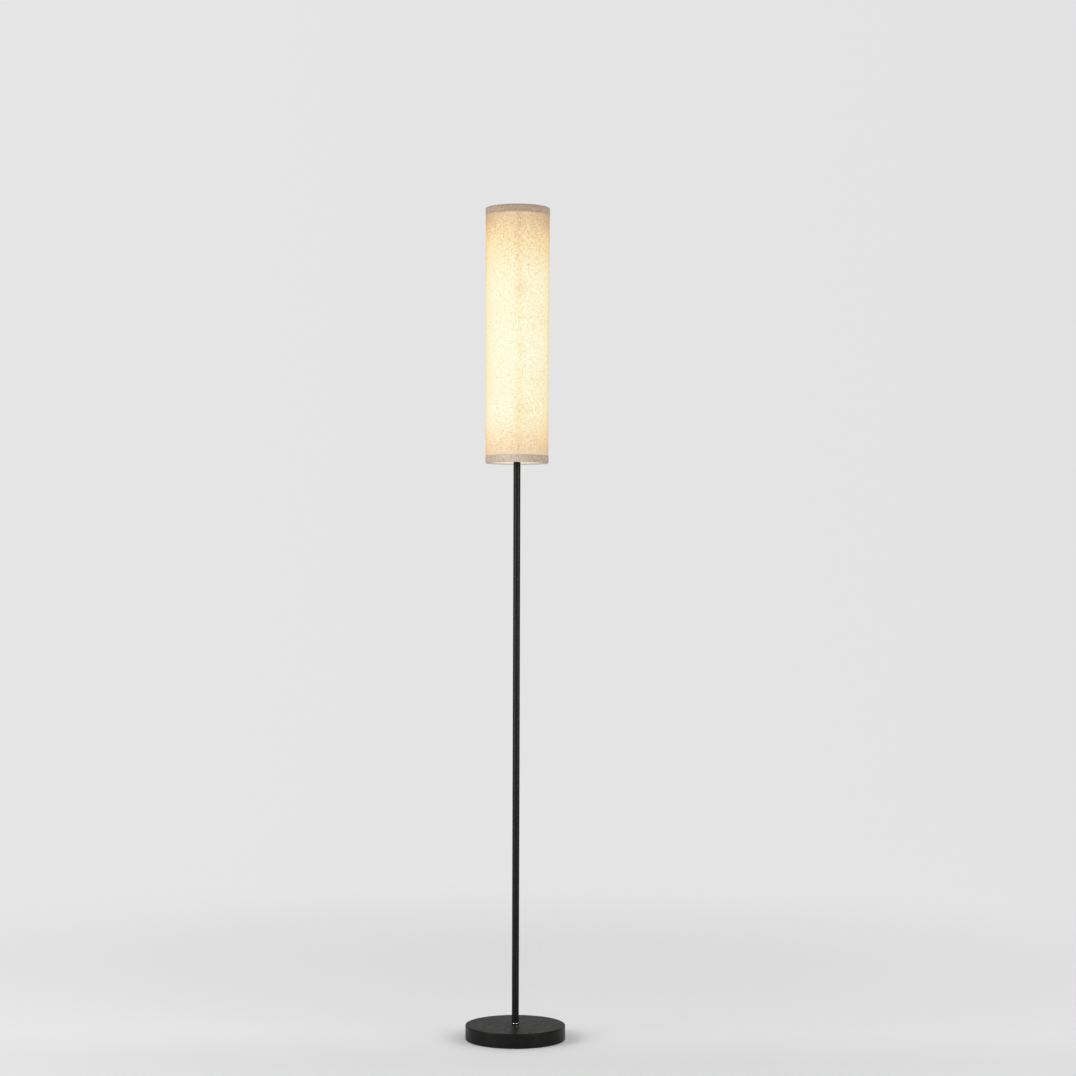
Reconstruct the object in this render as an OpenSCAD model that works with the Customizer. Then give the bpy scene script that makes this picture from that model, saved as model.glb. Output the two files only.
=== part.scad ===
// Column floor lamp: a weighted round base, a slim pole in three lengths, and a
// tall drum shade, slightly wider at its top, round three staggered globe bulbs.
// Millimetres, +Z up. The origin is on the floor, under the pole's axis.
// The front is -Y, and the lead's inlet is at the back, +Y.

/* [Base] */
// Outside diameter of the steel cover
base_d = 198; // [190:1:260]
// Height of the cover's top above the floor
base_h = 29; // [28:0.5:36]
// Wall of the steel cover
cover_t = 1; // [0.8:0.1:1.2]
// Outside radius of the cover's top edge
cover_edge_r = 1.8; // [1.4:0.1:3]
// Height of the cover's lower edge above the floor
cover_lift = 1; // [0.6:0.1:1.6]
// Space between the iron weight and the cover's skirt
weight_gap = 0.3; // [0.2:0.1:1]
// Bevel round the weight's top edge
weight_bevel = 1.2; // [1:0.1:3]
// Thickness of the foam pad under the weight
pad_t = 2; // [1.6:0.1:3]
// Distance from the weight's edge to the pad's edge
pad_inset = 5; // [3:0.5:15]
// Diameter of the recess under the weight for the base nut
recess_d = 38; // [34:1:60]
// Iron left between that recess and the weight's top
recess_roof = 8; // [6:0.5:10]

/* [Cable inlet] */
// Bore of the rubber grommet
inlet_bore = 6.4; // [5:0.1:7]
// Hole in the skirt that the grommet snaps into
grommet_neck_d = 9; // [8:0.1:10]
// Diameter of the grommet's two flanges
grommet_flange_d = 12; // [11:0.1:13]
// Thickness of each flange
grommet_flange_t = 0.8; // [0.5:0.1:1.5]
// Height of the inlet above the floor
inlet_z = 8.2; // [8:0.1:9]
// Width of the channel that runs from the inlet to the terminal block
channel_w = 14; // [13.5:0.5:20]
// Depth of that channel above the weight's underside
channel_h = 12.5; // [12.4:0.1:14]

/* [Terminal block] */
// Width of the pocket that holds the block
pocket_w = 26; // [23:1:36]
// Length of the pocket from the pole's axis to the back
pocket_l = 36; // [32:1:60]
// Width of the block
block_w = 20; // [16:0.5:21]
// Length of the block along the lead
block_l = 16; // [12:0.5:18]
// Distance from the pole's axis to the block's near face
block_start = 13; // [11:0.5:15]
// Room left between the block and the foam pad
block_clear = 0.8; // [0.5:0.1:1.5]
// Diameter of a terminal screw
terminal_d = 3.2; // [2.5:0.1:3.8]
// Distance between terminal screws
terminal_pitch = 6; // [5:0.1:6.4]
// Length of a terminal screw
terminal_l = 2.2; // [1.5:0.1:3]

/* [Threaded studs] */
// Outside diameter of the hollow studs in the base and the pole
stud_d = 8; // [7.6:0.1:8.4]
// Bore of the studs
stud_bore = 5.4; // [5:0.1:6]
// Length of a stud on each side of the joint that it makes
stud_grip = 12; // [9:0.5:13]
// Width across the flats of the nuts on the studs
stud_nut_af = 13; // [12.5:0.1:13.5]
// Height of the base nut
stud_nut_h = 6.5; // [5:0.1:7]
// Diameter of the washer above the base nut
base_washer_d = 30; // [20:1:33]
// Thickness of that washer
base_washer_t = 1.6; // [1:0.1:2]
// Length of the base stud below the base nut
stud_tail = 1; // [0.5:0.1:1.5]
// Radial clearance in a thread, drawn as two plain cylinders
thread_clear = 0.05; // [0.02:0.01:0.1]
// Radial clearance of a stud in a plain hole
hole_clear = 0.2; // [0.1:0.05:0.4]

/* [Foot of the pole] */
// Height of the bright ring on the cover
ring_h = 4; // [3:0.1:8]
// Diameter of the bright ring
ring_d = 14.4; // [12.5:0.1:20]
// Radius of the ring's rounded edges
ring_edge_r = 1.8; // [0.5:0.1:1.9]
// Height of the black collar between the ring and the pole
collar_h = 2.6; // [2:0.1:6]
// Diameter of the black collar
collar_d = 14; // [12.5:0.1:20]

/* [Pole] */
// Outside diameter of the pole tubes
pole_d = 14; // [13.6:0.1:16]
// Wall of the pole tubes
pole_wall = 1; // [0.8:0.1:1.2]
// Length of each pole tube
section_l = 371; // [250:1:450]
// Length of each threaded insert in the tubes' ends
insert_l = 14; // [13:0.5:25]

/* [Switch housing] */
// Outside diameter of the housing
housing_d = 46; // [45.6:0.1:47]
// Height of the housing without its lid
housing_h = 26; // [25.6:0.1:32]
// Wall of the housing
housing_wall = 1.5; // [1.2:0.1:1.6]
// Floor of the housing
housing_floor = 2.5; // [2:0.1:3]
// Thickness of the lid
lid_t = 2; // [1.5:0.1:3]
// Diameter of the lid's screws
lid_screw_d = 3; // [2.5:0.1:3.2]
// Distance of the lid's screws from the axis
lid_screw_r = 17.3; // [16.8:0.1:17.8]
// Depth of the lid's screws in their posts
lid_screw_l = 8; // [6:0.5:14]
// Diameter of the posts for the lid's screws
lid_post_d = 6; // [5:0.1:6.6]

/* [Rotary switch] */
// Width of the switch body
switch_w = 16; // [12:0.5:16.5]
// Height of the switch body
switch_h = 14; // [10:0.5:15]
// Distance from the axis to the switch body's inner face
switch_start = 8; // [7.8:0.1:9]
// Length of the switch body towards the housing's wall
switch_l = 11.4; // [9:0.1:11.6]
// Height of the switch's axis above the housing's floor
switch_rise = 8.5; // [8:0.1:9.5]
// Diameter of the threaded bush
bush_d = 8; // [7:0.1:8.6]
// How far the bush stands out of the boss on the housing
bush_l = 3.6; // [3:0.1:6]
// Diameter of the flat boss on the housing's side
boss_d = 15; // [14.6:0.1:15.6]
// How far the boss stands out of the housing
boss_l = 1.5; // [1:0.1:3]
// Width across the flats of the bush's nut
bush_nut_af = 11; // [10.4:0.1:12.4]
// Thickness of the bush's nut
bush_nut_h = 2.2; // [1.5:0.1:2.6]
// Diameter of the switch shaft
shaft_d = 5; // [4:0.1:5.6]
// Radial running clearance of the shaft in the bush
shaft_clear = 0.05; // [0.02:0.01:0.1]
// Diameter of the knob
knob_d = 15; // [12:0.5:20]
// Length of the knob
knob_l = 12; // [8:0.5:15]
// Number of grips round the knob
knob_grips = 16; // [8:1:20]
// Diameter of each groove between two grips
knob_groove_d = 1.6; // [0.8:0.1:2]

/* [Riser] */
// Outside diameter of the threaded tube that carries the bulbs and the shade
riser_d = 10; // [9.8:0.1:10.2]
// Bore of that tube
riser_bore = 7.5; // [7.3:0.1:7.8]
// Width across the flats of its nuts
riser_nut_af = 14; // [13.6:0.1:14.2]
// Height of its nuts
riser_nut_h = 4; // [3:0.1:4.4]
// Length of the riser below its lowest nut
riser_tail = 1; // [0.6:0.1:1.2]

/* [Lampholders] */
// Height from one bracket to the next
holder_pitch = 118; // [112:1:124]
// Distance from the riser's axis to each bulb's axis
holder_reach = 32; // [31.8:0.1:34]
// Thickness of the steel brackets
bracket_t = 2; // [1.5:0.1:3]
// Width of the brackets
bracket_w = 16; // [14.6:0.2:17]
// Outside diameter of a lampholder
holder_d = 27; // [26:0.5:30]
// Height of a lampholder
holder_h = 34; // [32:0.5:36]
// Wall of a lampholder
holder_wall = 2; // [1.5:0.1:2.4]
// Floor of a lampholder
holder_floor = 4; // [3.5:0.1:5]
// Height of the insulating core
core_h = 10; // [8:0.5:11]
// Height of the screw shell above the core
screw_shell_h = 16; // [12:0.5:17]
// Wall of the screw shell
screw_shell_t = 0.4; // [0.3:0.1:0.6]

/* [Bulbs] */
// Diameter of the opal globe
globe_d = 45; // [40:0.5:47]
// Wall of the globe
globe_t = 1; // [0.8:0.1:1.5]
// Height of the globe's centre above the screw cap's tip
globe_rise = 53.7; // [50:0.1:58]
// Greatest diameter of the screw cap
cap_d = 13.8; // [13:0.1:14]
// Length of the screw cap
cap_l = 19; // [17:0.5:20]
// Pitch of the cap's thread
cap_pitch = 2.82; // [2:0.01:3.2]
// Radial clearance of the cap in the screw shell
cap_clear = 0.2; // [0.1:0.05:0.3]
// Largest diameter of the bulb's body, at the globe's seat
bulb_body_d = 31; // [28:0.5:34]
// Smallest diameter of the bulb's body, at the cap
bulb_neck_d = 16; // [14.5:0.5:18]

/* [Leads] */
// Diameter of the supply lead inside the pole
supply_d = 4; // [3:0.1:4.2]
// Diameter of the leads to the lampholders and the switch
lead_d = 2; // [1.5:0.1:2.2]
// Side step of the middle lead, which keeps it off the top one
lead_step = 0.9; // [0.8:0.05:1.2]

/* [Shade] */
// Height of the shade
shade_h = 508; // [460:1:600]
// Diameter of the shade over its top trim
shade_top_d = 128.5; // [126:0.5:160]
// Diameter of the shade over its bottom trim
shade_bottom_d = 125.5; // [124:0.5:160]
// How far the shade hangs below the switch housing
shade_drop = 7; // [0:0.5:10]
// Thickness of the linen skin
skin_t = 0.5; // [0.3:0.1:1]
// Thickness of the stiff panel inside it
panel_t = 0.9; // [0.6:0.1:1.2]
// Glue between two layers
glue_t = 0.03; // [0.02:0.01:0.05]
// Height of the trim bands
trim_h = 15; // [12:0.5:25]
// Thickness of the folded trim
trim_t = 0.5; // [0.3:0.1:0.8]
// Length of the trim's flap that lies flat inside
trim_flap = 6; // [3:0.5:10]
// Diameter of the frame's wire
wire_d = 3.2; // [2.5:0.1:4]
// Width of the seam strip down the back
seam_w = 12; // [6:0.5:20]

/* [Shade fitting] */
// Depth of the spider's washer below the shade's top
spider_drop = 17; // [14:0.5:25]
// Diameter of the spider's washer
spider_washer_d = 22; // [21:0.5:30]
// Thickness of the spider's washer
spider_washer_t = 2.5; // [2:0.1:4]
// Running clearance of the washer on the riser
spider_clear = 0.05; // [0.02:0.01:0.1]
// Gap above and below the washer
seat_gap = 0.3; // [0.2:0.05:0.5]
// Number of arms on the spider
spider_arms = 3; // [3:1:4]
// Diameter of the arms
arm_d = 2.8; // [2:0.1:3]
// Clearance of the notches that let the arms through the top trim
notch_clear = 0.3; // [0.2:0.05:0.5]
// Diameter of the finial
finial_d = 16; // [14:0.5:17]
// Height of the finial
finial_h = 12; // [10:0.5:13]
// Radius of the finial's rounded edges
finial_edge_r = 2.4; // [1:0.1:3]
// Length of the riser that the finial screws onto
finial_grip = 7; // [6:0.5:8]

/* [Hidden] */

$fn = 96;
eps = 0.01;            // how far a cutting tool runs past a face
cut = 1;               // how far a through hole runs past its wall

// Colours
powder_black = [0.09, 0.09, 0.09];
bright_steel = [0.80, 0.80, 0.80];
zinc = [0.62, 0.63, 0.64];
brass = [0.78, 0.64, 0.34];
iron = [0.25, 0.25, 0.26];
foam_black = [0.14, 0.14, 0.14];
rubber_black = [0.10, 0.10, 0.10];
plastic_black = [0.12, 0.12, 0.12];
plastic_white = [0.92, 0.92, 0.90];
ceramic = [0.90, 0.88, 0.82];
opal = [1.00, 0.97, 0.88];
linen = [0.93, 0.87, 0.74];
linen_trim = [0.80, 0.74, 0.66];
panel_cream = [0.97, 0.93, 0.82];

// Base
cover_in_r = base_d / 2 - cover_t;
weight_r = cover_in_r - weight_gap;
weight_top = base_h - cover_t;
recess_top = weight_top - recess_roof;
channel_top = pad_t + channel_h;
base_nut_top = recess_top - base_washer_t;
stud_hole_d = stud_d + 2 * hole_clear;
thread_hole_d = stud_d + 2 * thread_clear;
block_z = pad_t + block_clear;
block_h = channel_top - block_z;

// Pole
foot_top = base_h + ring_h + collar_h;
sections = 3;
pole_top = foot_top + sections * section_l;
tube_in_d = pole_d - 2 * pole_wall;
insert_d = tube_in_d - 2 * thread_clear;

// Switch housing
housing_r = housing_d / 2;
housing_in_r = housing_r - housing_wall;
housing_inside = pole_top + housing_floor;
lid_z = pole_top + housing_h;
lid_top = lid_z + lid_t;
switch_z = housing_inside + switch_rise;
switch_end = switch_start + switch_l;
boss_end = housing_r + boss_l;
bush_end = boss_end + bush_l;
shaft_hole_d = shaft_d + 2 * shaft_clear;
shaft_start = switch_start + switch_l / 3;
shaft_gap = 0.4;             // between the shaft's inner end and the switch body
knob_start = bush_end + shaft_gap;
knob_wall = 2;               // knob left beyond the shaft's outer end
pole_nut_h = 4;              // height of the nut on the stud inside the housing

// Riser, brackets and lampholders
riser_hole_d = riser_d + 2 * hole_clear;
riser_thread_d = riser_d + 2 * thread_clear;
riser_bottom = lid_z - riser_nut_h - riser_tail;
function bulb_angle(i) = 180 + 120 * i;
function bracket_z(i) = lid_top + i * holder_pitch;
function holder_z(i) = bracket_z(i) + bracket_t;
nipple_tail = 0.6;           // nipple left showing below its nut
core_z = holder_floor;       // heights from here on are above the lampholder's underside
core_top = core_z + core_h;
tip_gap = 0.3;               // between the core's contact and the bulb's tip
tip_z = core_top + tip_gap;
cap_top = tip_z + cap_l;
globe_z = tip_z + globe_rise;
screw_shell_in_d = cap_d + 2 * cap_clear;
screw_shell_d = screw_shell_in_d + 2 * screw_shell_t;
holder_in_d = holder_d - 2 * holder_wall;
holder_collar_t = 0.6;       // how far the collar round its foot stands out
holder_collar_h = 11.3;
holder_bevel = 1;            // bevel on the collar and the lip
core_d = holder_in_d - 2 * thread_clear;

// Bulb
tip_d = 4.6;                 // contact at the bottom of the screw cap
tip_l = 1;
insulator_d = 9;             // black glass round the contact
insulator_l = 2.4;
cap_thread_depth = 0.7;
neck_l = 2;                  // straight neck above the cap
flare_l = 7;                 // height over which the bulb's body opens out
flare_short = 3;             // radius still to gain above the flare
seat_depth = 1.2;            // depth of the globe's seat in the bulb's body
globe_r = globe_d / 2;
globe_open_r = bulb_body_d / 2 - seat_depth;
globe_seat_z = globe_z - sqrt(pow(globe_r, 2) - pow(globe_open_r, 2));

// Leads
supply_lift = 1.8;           // space under the supply lead's run over the foam pad
supply_run_z = pad_t + supply_lift + supply_d / 2;
bend_swell = 0.04;           // how much thicker the lead's insulation is in a bend
run_in = 0.1;                // how far a straight stretch of lead runs into a bend
supply_bend_r = 5;
supply_top_bend_r = 4;
lead_inner_bend_r = 3;
lead_outer_bend_r = 6;
riser_lead_side = 1.6;       // how far a lead runs beyond the riser's axis before it turns out
lead_hole_d = lead_d + 1;
connector_start = 11;
connector_l = 8;
connector_w = 14;
stud_top = pole_top + stud_grip;
lead_gap = 0.6;              // between the riser's lower end and the leads that turn into it
riser_lead_z = riser_bottom - lead_gap - lead_d / 2;
connector_lift = 5;          // height of the connector above the housing's floor
connector_z = housing_inside + connector_lift;
connector_head = 3;          // connector left above the riser's leads
connector_h = riser_lead_z + connector_head - connector_z;
lead_rows = 4;               // from the riser's leads down to the lowest lampholder's lead
first_lead_z = riser_lead_z - lead_rows;
branch_drop = 14;            // from a bracket down to where its lead leaves the riser

switch_lead_side = stud_d / 2 + lead_gap + lead_d / 2;
switch_lead_z = connector_z + lead_gap + lead_d / 2;

// Side step of a lampholder's lead from the plane through its bulb
function lead_side(i) = i == 1 ? lead_step : 0;

// Where a lead climbs inside the riser, as a point in the frame of its bulb's plane
function climb(i) = [-riser_lead_side, lead_side(i)];

// Shade
shade_z = pole_top - shade_drop;
shade_top = shade_z + shade_h;
washer_z = shade_top - spider_drop;
washer_top = washer_z + spider_washer_t;
riser_top = washer_top + seat_gap + finial_grip;
wire_edge = trim_t + glue_t + wire_d / 2;

// Outside radius of the trim at a height, and of each layer under it
function trim_r(z) =
  shade_bottom_d / 2 + (shade_top_d - shade_bottom_d) / 2 * (z - shade_z) / shade_h;
function skin_r(z) = trim_r(z) - trim_t - glue_t;
function panel_r(z) = skin_r(z) - skin_t - glue_t;
function lining_r(z) = panel_r(z) - panel_t;
function wire_r(z) = lining_r(z) - glue_t - wire_d / 2;

// Spider: its arms run from the washer's rim up to the middle of the top ring's wire
first_arm = 90;
ring_z = shade_top - wire_edge;
hub_z = washer_z + spider_washer_t / 2;
hub_r = (spider_washer_d - arm_d) / 2;
arm_rise = ring_z - hub_z;
arm_reach = wire_r(ring_z) - hub_r;
arm_l = sqrt(pow(arm_rise, 2) + pow(arm_reach, 2));

// ---------------------------------------------------------------- shared shapes

// Upright tube
module tube(d, bore, h) {
  difference() {
    cylinder(d = d, h = h);
    translate([0, 0, -cut]) cylinder(d = bore, h = h + 2 * cut);
  }
}

// Hexagonal nut, standing on the XY plane
module hex_nut(af, bore, h) {
  difference() {
    cylinder(d = af / cos(30), h = h, $fn = 6);
    translate([0, 0, -cut]) cylinder(d = bore, h = h + 2 * cut);
  }
}

// Upright disc with both edges rounded
module rounded_disc(d, h, r, bore) {
  rotate_extrude() difference() {
    union() {
      translate([0, r]) square([d / 2, h - 2 * r]);
      square([d / 2 - r, h]);
      for (z = [r, h - r]) translate([d / 2 - r, z]) circle(r);
    }
    translate([-d, -cut]) square([d + bore / 2, h + 2 * cut]);
  }
}

// A quarter bend of round lead: it starts upright at the origin and turns out to +X.
// The insulation swells a hair there, and the straight stretches run a little way in.
module bend(d, r) {
  translate([r, 0, 0]) rotate([90, 0, 180])
    rotate_extrude(angle = 90) translate([r, 0]) circle(d = d + bend_swell);
}

// Straight round lead along +X
module run_x(d, l) {
  rotate([0, 90, 0]) cylinder(d = d, h = l);
}

// Round bar along +X from one distance to another
module run_from(x0, x1, d) {
  translate([x0, 0, 0]) run_x(d, x1 - x0);
}

// One layer of the shade, between two heights, with its outer and inner radii there
module shade_layer(z0, z1, out0, out1, in0, in1) {
  rotate_extrude($fn = 180)
    polygon([[in0, z0], [out0, z0], [out1, z1], [in1, z1]]);
}

// ------------------------------------------------------------------------- base

module foot_pad() {
  color(foam_black) cylinder(r = weight_r - pad_inset, h = pad_t);
}

module base_weight() {
  color(iron) difference() {
    rotate_extrude()
      polygon([
        [0, pad_t], [weight_r, pad_t], [weight_r, weight_top - weight_bevel],
        [weight_r - weight_bevel, weight_top], [0, weight_top]
      ]);
    translate([0, 0, -cut]) cylinder(d = stud_hole_d, h = base_h + 2 * cut);
    translate([0, 0, pad_t - cut]) cylinder(d = recess_d, h = recess_top - pad_t + cut);
    translate([-pocket_w / 2, 0, pad_t - cut]) cube([pocket_w, pocket_l, channel_h + cut]);
    translate([-channel_w / 2, 0, pad_t - cut]) cube([channel_w, base_d, channel_h + cut]);
  }
}

// Half section of the cover: a flat top, a rounded edge and a straight skirt
module cover_outline(r, top, edge_r) {
  square([r - edge_r, top]);
  square([r, top - edge_r]);
  translate([r - edge_r, top - edge_r]) circle(edge_r);
}

module base_cover() {
  inner_edge_r = max(cover_edge_r - cover_t, 0.2);
  color(powder_black) difference() {
    rotate_extrude($fn = 180) difference() {
      cover_outline(base_d / 2, base_h, cover_edge_r);
      cover_outline(cover_in_r, weight_top, inner_edge_r);
      translate([0, -cut]) square([base_d, cover_lift + cut]);
    }
    cylinder(d = stud_hole_d, h = base_h + cut);
    translate([0, cover_in_r - 2 * cut, inlet_z])
      rotate([-90, 0, 0]) cylinder(d = grommet_neck_d, h = cover_t + 4 * cut);
  }
}

// Rubber grommet: a neck through the skirt and a flange on each side of it
module cable_grommet() {
  skirt_sag = cover_in_r - sqrt(pow(cover_in_r, 2) - pow(grommet_flange_d / 2, 2));
  inner_y = cover_in_r - skirt_sag - glue_t;
  outer_y = base_d / 2 + glue_t;
  color(rubber_black) translate([0, 0, inlet_z]) rotate([-90, 0, 0]) difference() {
    union() {
      translate([0, 0, inner_y - grommet_flange_t]) cylinder(d = grommet_flange_d, h = grommet_flange_t);
      translate([0, 0, inner_y - eps])
        cylinder(d = grommet_neck_d - 2 * thread_clear, h = outer_y - inner_y + 2 * eps);
      translate([0, 0, outer_y]) cylinder(d = grommet_flange_d, h = grommet_flange_t);
    }
    cylinder(d = inlet_bore, h = base_d);
  }
}

module terminal_places() {
  for (i = [-1, 0, 1]) translate([i * terminal_pitch, block_start + block_l / 2, block_z]) children();
}

module terminal_block() {
  color(plastic_white) difference() {
    translate([-block_w / 2, block_start, block_z]) cube([block_w, block_l, block_h]);
    terminal_places() translate([0, 0, -cut])
      cylinder(d = terminal_d + 2 * thread_clear, h = terminal_l + cut);
  }
}

module terminal_screws() {
  slot_w = terminal_d / 5;
  color(brass) terminal_places() difference() {
    cylinder(d = terminal_d, h = terminal_l);
    translate([-terminal_d, -slot_w / 2, -cut]) cube([2 * terminal_d, slot_w, cut + terminal_l / 3]);
  }
}

module base_stud() {
  bottom = base_nut_top - stud_nut_h - stud_tail;
  color(zinc) translate([0, 0, bottom]) tube(stud_d, stud_bore, foot_top + stud_grip - bottom);
}

module base_washer() {
  color(zinc) translate([0, 0, base_nut_top]) tube(base_washer_d, stud_hole_d, base_washer_t);
}

module base_nut() {
  color(zinc) translate([0, 0, base_nut_top - stud_nut_h]) hex_nut(stud_nut_af, thread_hole_d, stud_nut_h);
}

// Bead with a nearly half-round edge
module foot_ring() {
  color(bright_steel) translate([0, 0, base_h])
    rounded_disc(ring_d, ring_h, min(ring_edge_r, 0.47 * ring_h), stud_hole_d);
}

module foot_collar() {
  color(powder_black) translate([0, 0, base_h + ring_h]) tube(collar_d, stud_hole_d, collar_h);
}

// ------------------------------------------------------------------------- pole

module pole_section(i) {
  color(powder_black) translate([0, 0, foot_top + i * section_l]) tube(pole_d, tube_in_d, section_l);
}

module pole_lower() { pole_section(0); }

module pole_middle() { pole_section(1); }

module pole_upper() { pole_section(2); }

module insert() {
  tube(insert_d, thread_hole_d, insert_l);
}

// The insert at the foot of each tube
module pole_lower_inserts() {
  color(zinc) for (i = [0 : sections - 1]) translate([0, 0, foot_top + i * section_l]) insert();
}

// The insert at the head of each tube
module pole_upper_inserts() {
  color(zinc) for (i = [1 : sections])
    translate([0, 0, foot_top + i * section_l - insert_l - thread_clear]) insert();
}

// Hollow studs: two join the tubes, and the last one holds the switch housing with its nut
module pole_studs() {
  color(zinc) {
    for (i = [1 : sections])
      translate([0, 0, foot_top + i * section_l - stud_grip]) tube(stud_d, stud_bore, 2 * stud_grip);
    translate([0, 0, housing_inside]) hex_nut(stud_nut_af, thread_hole_d, pole_nut_h);
  }
}

// --------------------------------------------------------------- switch housing

module lid_screw_places() {
  for (side = [-1, 1]) translate([0, side * lid_screw_r, lid_z]) children();
}

module switch_housing() {
  color(powder_black) difference() {
    union() {
      translate([0, 0, pole_top]) difference() {
        cylinder(r = housing_r, h = housing_h);
        translate([0, 0, housing_floor]) cylinder(r = housing_in_r, h = housing_h);
      }
      lid_screw_places() translate([0, 0, housing_inside - eps - lid_z])
        cylinder(d = lid_post_d, h = lid_z - housing_inside + eps);
      // flat boss for the switch, cut back to the inside of the wall
      difference() {
        translate([0, 0, switch_z]) run_x(boss_d, boss_end);
        translate([0, 0, pole_top]) cylinder(r = housing_in_r + eps, h = housing_h);
      }
    }
    translate([0, 0, pole_top - cut]) cylinder(d = stud_hole_d, h = housing_floor + 2 * cut);
    translate([switch_end - cut, 0, switch_z]) run_x(bush_d + 2 * thread_clear, housing_r);
    lid_screw_places() translate([0, 0, -lid_screw_l - cut])
      cylinder(d = lid_screw_d + 2 * thread_clear, h = lid_screw_l + 2 * cut);
    // way out for the lowest lampholder's lead
    rotate([0, 0, bulb_angle(0)]) translate([connector_start + connector_l, 0, first_lead_z])
      run_x(lead_hole_d, housing_r);
  }
}

module housing_lid() {
  color(powder_black) translate([0, 0, lid_z]) difference() {
    cylinder(r = housing_r, h = lid_t);
    translate([0, 0, -cut]) cylinder(d = riser_hole_d, h = lid_t + 2 * cut);
    for (side = [-1, 1]) translate([0, side * lid_screw_r, -cut])
      cylinder(d = lid_screw_d + 2 * hole_clear, h = lid_t + 2 * cut);
  }
}

module lid_screws() {
  head_d = 1.8 * lid_screw_d;
  head_h = 0.6 * lid_screw_d;
  slot_w = 0.25 * lid_screw_d;
  color(zinc) lid_screw_places() difference() {
    union() {
      translate([0, 0, -lid_screw_l]) cylinder(d = lid_screw_d, h = lid_screw_l + lid_t + eps);
      translate([0, 0, lid_t]) cylinder(d = head_d, h = head_h);
    }
    translate([-head_d, -slot_w / 2, lid_t + head_h / 2]) cube([2 * head_d, slot_w, head_h]);
  }
}

module switch_body() {
  color(plastic_black) translate([0, 0, switch_z]) difference() {
    union() {
      translate([switch_start, -switch_w / 2, -switch_h / 2]) cube([switch_l, switch_w, switch_h]);
      run_from(switch_end - eps, bush_end, bush_d);
    }
    run_from(shaft_start - shaft_gap, bush_end + cut, shaft_hole_d);
  }
}

module switch_nut() {
  color(zinc) translate([boss_end, 0, switch_z]) rotate([0, 90, 0])
    hex_nut(bush_nut_af, bush_d + 2 * thread_clear, bush_nut_h);
}

module switch_shaft() {
  color(zinc) translate([0, 0, switch_z])
    run_from(shaft_start, knob_start + knob_l - knob_wall - shaft_gap, shaft_d);
}

module switch_knob() {
  color(plastic_black) translate([knob_start, 0, switch_z]) rotate([0, 90, 0]) difference() {
    cylinder(d = knob_d, h = knob_l);
    translate([0, 0, -cut]) cylinder(d = shaft_d + 2 * thread_clear, h = knob_l - knob_wall + cut);
    for (i = [0 : knob_grips - 1]) rotate([0, 0, i * 360 / knob_grips])
      translate([knob_d / 2, 0, -cut]) cylinder(d = knob_groove_d, h = knob_l + 2 * cut, $fn = 24);
  }
}

module wire_connector() {
  color(plastic_white) rotate([0, 0, bulb_angle(0)])
    translate([connector_start, -connector_w / 2, connector_z]) cube([connector_l, connector_w, connector_h]);
}

// ------------------------------------------------------------ riser and brackets

module riser_tube() {
  color(zinc) difference() {
    translate([0, 0, riser_bottom]) tube(riser_d, riser_bore, riser_top - riser_bottom);
    for (i = [1, 2]) rotate([0, 0, bulb_angle(i)])
      translate([0, lead_side(i), bracket_z(i) - branch_drop]) run_x(lead_hole_d, riser_d);
  }
}

// Nuts: under and over the lid and the brackets, and one under the shade's spider
module riser_nuts() {
  nut_places = [
    lid_z - riser_nut_h, bracket_z(0) + bracket_t,
    bracket_z(1) - riser_nut_h, bracket_z(1) + bracket_t,
    bracket_z(2) - riser_nut_h, bracket_z(2) + bracket_t,
    washer_z - seat_gap - riser_nut_h
  ];
  color(zinc) for (z = nut_places) translate([0, 0, z]) hex_nut(riser_nut_af, riser_thread_d, riser_nut_h);
}

module at_holder(i) {
  rotate([0, 0, bulb_angle(i)]) translate([holder_reach, 0, 0]) children();
}

// Flat steel arm with a hole for the riser and a hole for the lampholder's nipple
module holder_bracket(i) {
  color(zinc) rotate([0, 0, bulb_angle(i)]) translate([0, 0, bracket_z(i)]) difference() {
    union() {
      cylinder(d = bracket_w, h = bracket_t);
      translate([holder_reach, 0, 0]) cylinder(d = bracket_w, h = bracket_t);
      translate([0, -bracket_w / 2, 0]) cube([holder_reach, bracket_w, bracket_t]);
    }
    for (x = [0, holder_reach]) translate([x, 0, -cut]) cylinder(d = riser_hole_d, h = bracket_t + 2 * cut);
  }
}

module holder_bracket_1() { holder_bracket(0); }

module holder_bracket_2() { holder_bracket(1); }

module holder_bracket_3() { holder_bracket(2); }

// Moulded cup of a lampholder, with a collar round its foot and a rolled lip
module holder_shell(i) {
  body_r = holder_d / 2;
  collar_r = body_r + holder_collar_t;
  color(plastic_black) at_holder(i) translate([0, 0, holder_z(i)]) difference() {
    rotate_extrude()
      polygon([
        [0, 0], [collar_r - holder_bevel, 0], [collar_r, holder_bevel],
        [collar_r, holder_collar_h - holder_bevel], [body_r, holder_collar_h],
        [body_r, holder_h - holder_bevel], [body_r - holder_bevel, holder_h],
        [holder_in_d / 2, holder_h], [holder_in_d / 2, holder_floor], [0, holder_floor]
      ]);
    translate([0, 0, -cut]) cylinder(d = riser_thread_d, h = holder_floor + 2 * cut);
  }
}

module holder_shell_1() { holder_shell(0); }

module holder_shell_2() { holder_shell(1); }

module holder_shell_3() { holder_shell(2); }

// Ceramic core that carries the screw shell; the bulb's tip meets the contact in its middle
module holder_core(i) {
  color(ceramic) at_holder(i) translate([0, 0, holder_z(i) + core_z]) cylinder(d = core_d, h = core_h);
}

module holder_core_1() { holder_core(0); }

module holder_core_2() { holder_core(1); }

module holder_core_3() { holder_core(2); }

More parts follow.
